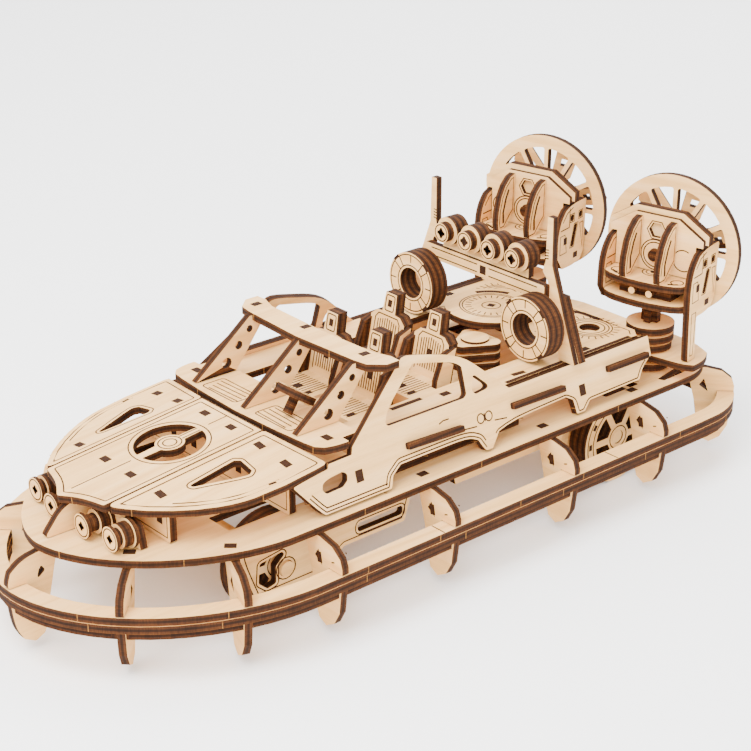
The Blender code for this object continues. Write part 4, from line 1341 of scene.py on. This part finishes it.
def low_rails():
    """Long rails under the deck, seen between the ribs."""
    outline = [(1.0, 38.2), (-62.0, 38.2), (-60.0, 30.0), (-1.0, 30.0)]
    slabs = [(outline, *sorted((side * 45.5, side * 48.5)), TOWARDS_PORT) for side in (1, -1)]
    wooden_piece("low_rails", "hull", slabs, "deck_plate")


def nacelle_pegs():
    """Short pale pegs between the two floors of each nacelle."""
    for side, word in SIDES:
        turn = nacelle_base(side) @ TOWARDS_BOW
        slabs = [(ring(y, 78.6, 1.5, steps=12)[:-1], 7.0, 11.5, turn) for y in (-4.0, 4.0)]
        wooden_piece("nacelle_pegs_" + word, "nacelle_" + word, slabs, "nacelle_floor_" + word)


# Stage

def studio_floor():
    editable = bmesh.new()
    corners = [editable.verts.new((x * FLOOR_REACH, y * FLOOR_REACH, 0.0))
               for x, y in ((-1, -1), (1, -1), (1, 1), (-1, 1))]
    editable.faces.new(corners)
    mesh = bpy.data.meshes.new("studio_floor")
    editable.to_mesh(mesh)
    editable.free()
    mesh.materials.append(studio_paper())
    floor = add_to_scene("studio_floor", mesh)


def studio_light():
    """An even white room and three softboxes."""
    world = bpy.data.worlds.new("studio_room")
    world.use_nodes = True
    background = world.node_tree.nodes["Background"]
    background.inputs["Color"].default_value = (1.0, 1.0, 1.0, 1.0)
    background.inputs["Strength"].default_value = ROOM_LIGHT
    bpy.context.scene.world = world
    for name, place, width, power in SOFTBOXES:
        light = bpy.data.lights.new(name, "AREA")
        light.size = width
        light.energy = power
        thing = add_to_scene(name, light)
        thing.location = place
        thing.rotation_euler = (-Vector(place)).to_track_quat("-Z", "Y").to_euler()


def photo_camera():
    stage = bpy.context.scene.hovercraft_stage
    camera = bpy.data.cameras.new("photo_camera")
    camera.lens = stage.camera_lens
    camera.sensor_width = 36.0
    camera.clip_start = 0.01
    camera.clip_end = 20.0
    aim = Vector(stage.camera_aim).normalized()
    right = aim.cross(Vector((0.0, 0.0, 1.0))).normalized()
    turned = Matrix((right, right.cross(aim), -aim)).transposed().to_4x4()
    roll = Matrix.Rotation(stage.camera_roll, 4, "Z")
    thing = add_to_scene("photo_camera", camera)
    thing.matrix_world = Matrix.Translation(stage.camera_place) @ turned @ roll
    bpy.context.scene.camera = thing


# Operators

class HOVERCRAFT_OT_stage(bpy.types.Operator):
    """Builds the floor, the lights and the camera"""
    bl_idname = "hovercraft.stage"
    bl_label = "Stage and camera"

    def execute(self, context):
        studio_floor()
        studio_light()
        photo_camera()
        return {"FINISHED"}


class HOVERCRAFT_OT_sheets(bpy.types.Operator):
    """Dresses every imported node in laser-cut birch plywood"""
    bl_idname = "hovercraft.sheets"
    bl_label = "Plywood sheets"

    def execute(self, context):
        make_materials()
        TREES["score"] = score_tree()
        TREES["block"] = block_tree()
        draw = random.Random(7)
        for node in sorted(frame["nodes"]):
            dress_node(node, draw)
        return {"FINISHED"}


class HOVERCRAFT_OT_hood(bpy.types.Operator):
    """Engraves the hood and adds the lamp heads at the bow"""
    bl_idname = "hovercraft.hood"
    bl_label = "Hood and bow lamps"

    def execute(self, context):
        engrave_hood()
        bow_lamp_fronts()
        return {"FINISHED"}


class HOVERCRAFT_OT_body(bpy.types.Operator):
    """Engraves the body sides and the decks"""
    bl_idname = "hovercraft.body"
    bl_label = "Body sides and decks"

    def execute(self, context):
        engrave_body_sides()
        engrave_decks()
        return {"FINISHED"}


class HOVERCRAFT_OT_cabin(bpy.types.Operator):
    """Engraves the dash, the roof strip and the seats"""
    bl_idname = "hovercraft.cabin"
    bl_label = "Cabin"

    def execute(self, context):
        engrave_cabin()
        return {"FINISHED"}


class HOVERCRAFT_OT_arch(bpy.types.Operator):
    """Engraves the arch, the searchlights and the lifebuoys"""
    bl_idname = "hovercraft.arch"
    bl_label = "Arch"

    def execute(self, context):
        engrave_arch()
        return {"FINISHED"}


class HOVERCRAFT_OT_nacelles(bpy.types.Operator):
    """Engraves the nacelles and adds their pegs"""
    bl_idname = "hovercraft.nacelles"
    bl_label = "Nacelles and fans"

    def execute(self, context):
        engrave_nacelles()
        nacelle_pegs()
        return {"FINISHED"}


class HOVERCRAFT_OT_running_gear(bpy.types.Operator):
    """Engraves the wheels and the hull sides, and adds the low rails"""
    bl_idname = "hovercraft.running_gear"
    bl_label = "Wheels and hull sides"

    def execute(self, context):
        engrave_wheels()
        engrave_hull_sides()
        low_rails()
        return {"FINISHED"}


class HOVERCRAFT_OT_skirt(bpy.types.Operator):
    """Adds seams and broken sprues to the skirt and the larger sheets"""
    bl_idname = "hovercraft.skirt"
    bl_label = "Skirt marks"

    def execute(self, context):
        mark_skirt(random.Random(11))
        return {"FINISHED"}


OPERATORS = (HOVERCRAFT_OT_stage, HOVERCRAFT_OT_sheets, HOVERCRAFT_OT_hood, HOVERCRAFT_OT_body,
             HOVERCRAFT_OT_cabin, HOVERCRAFT_OT_arch, HOVERCRAFT_OT_nacelles, HOVERCRAFT_OT_running_gear,
             HOVERCRAFT_OT_skirt)


class HOVERCRAFT_PT_panel(bpy.types.Panel):
    bl_label = "Hovercraft kit"
    bl_idname = "HOVERCRAFT_PT_panel"
    bl_space_type = "VIEW_3D"
    bl_region_type = "UI"
    bl_category = "Hovercraft"

    def draw(self, context):
        for operator in OPERATORS:
            self.layout.operator(operator.bl_idname)


CLASSES = (HovercraftWood, HovercraftStage, *OPERATORS, HOVERCRAFT_PT_panel)


def register():
    for made in CLASSES:
        bpy.utils.register_class(made)
    bpy.types.Scene.hovercraft_wood = PointerProperty(type=HovercraftWood)
    bpy.types.Scene.hovercraft_stage = PointerProperty(type=HovercraftStage)


def unregister():
    del bpy.types.Scene.hovercraft_wood
    del bpy.types.Scene.hovercraft_stage
    for made in reversed(CLASSES):
        bpy.utils.unregister_class(made)


def main():
    register()
    for operator in OPERATORS:
        group, name = operator.bl_idname.split(".")
        getattr(getattr(bpy.ops, group), name)()
    for editable in MERGED.values():
        editable.free()
    MERGED.clear()


if __name__ == "__main__":
    main()
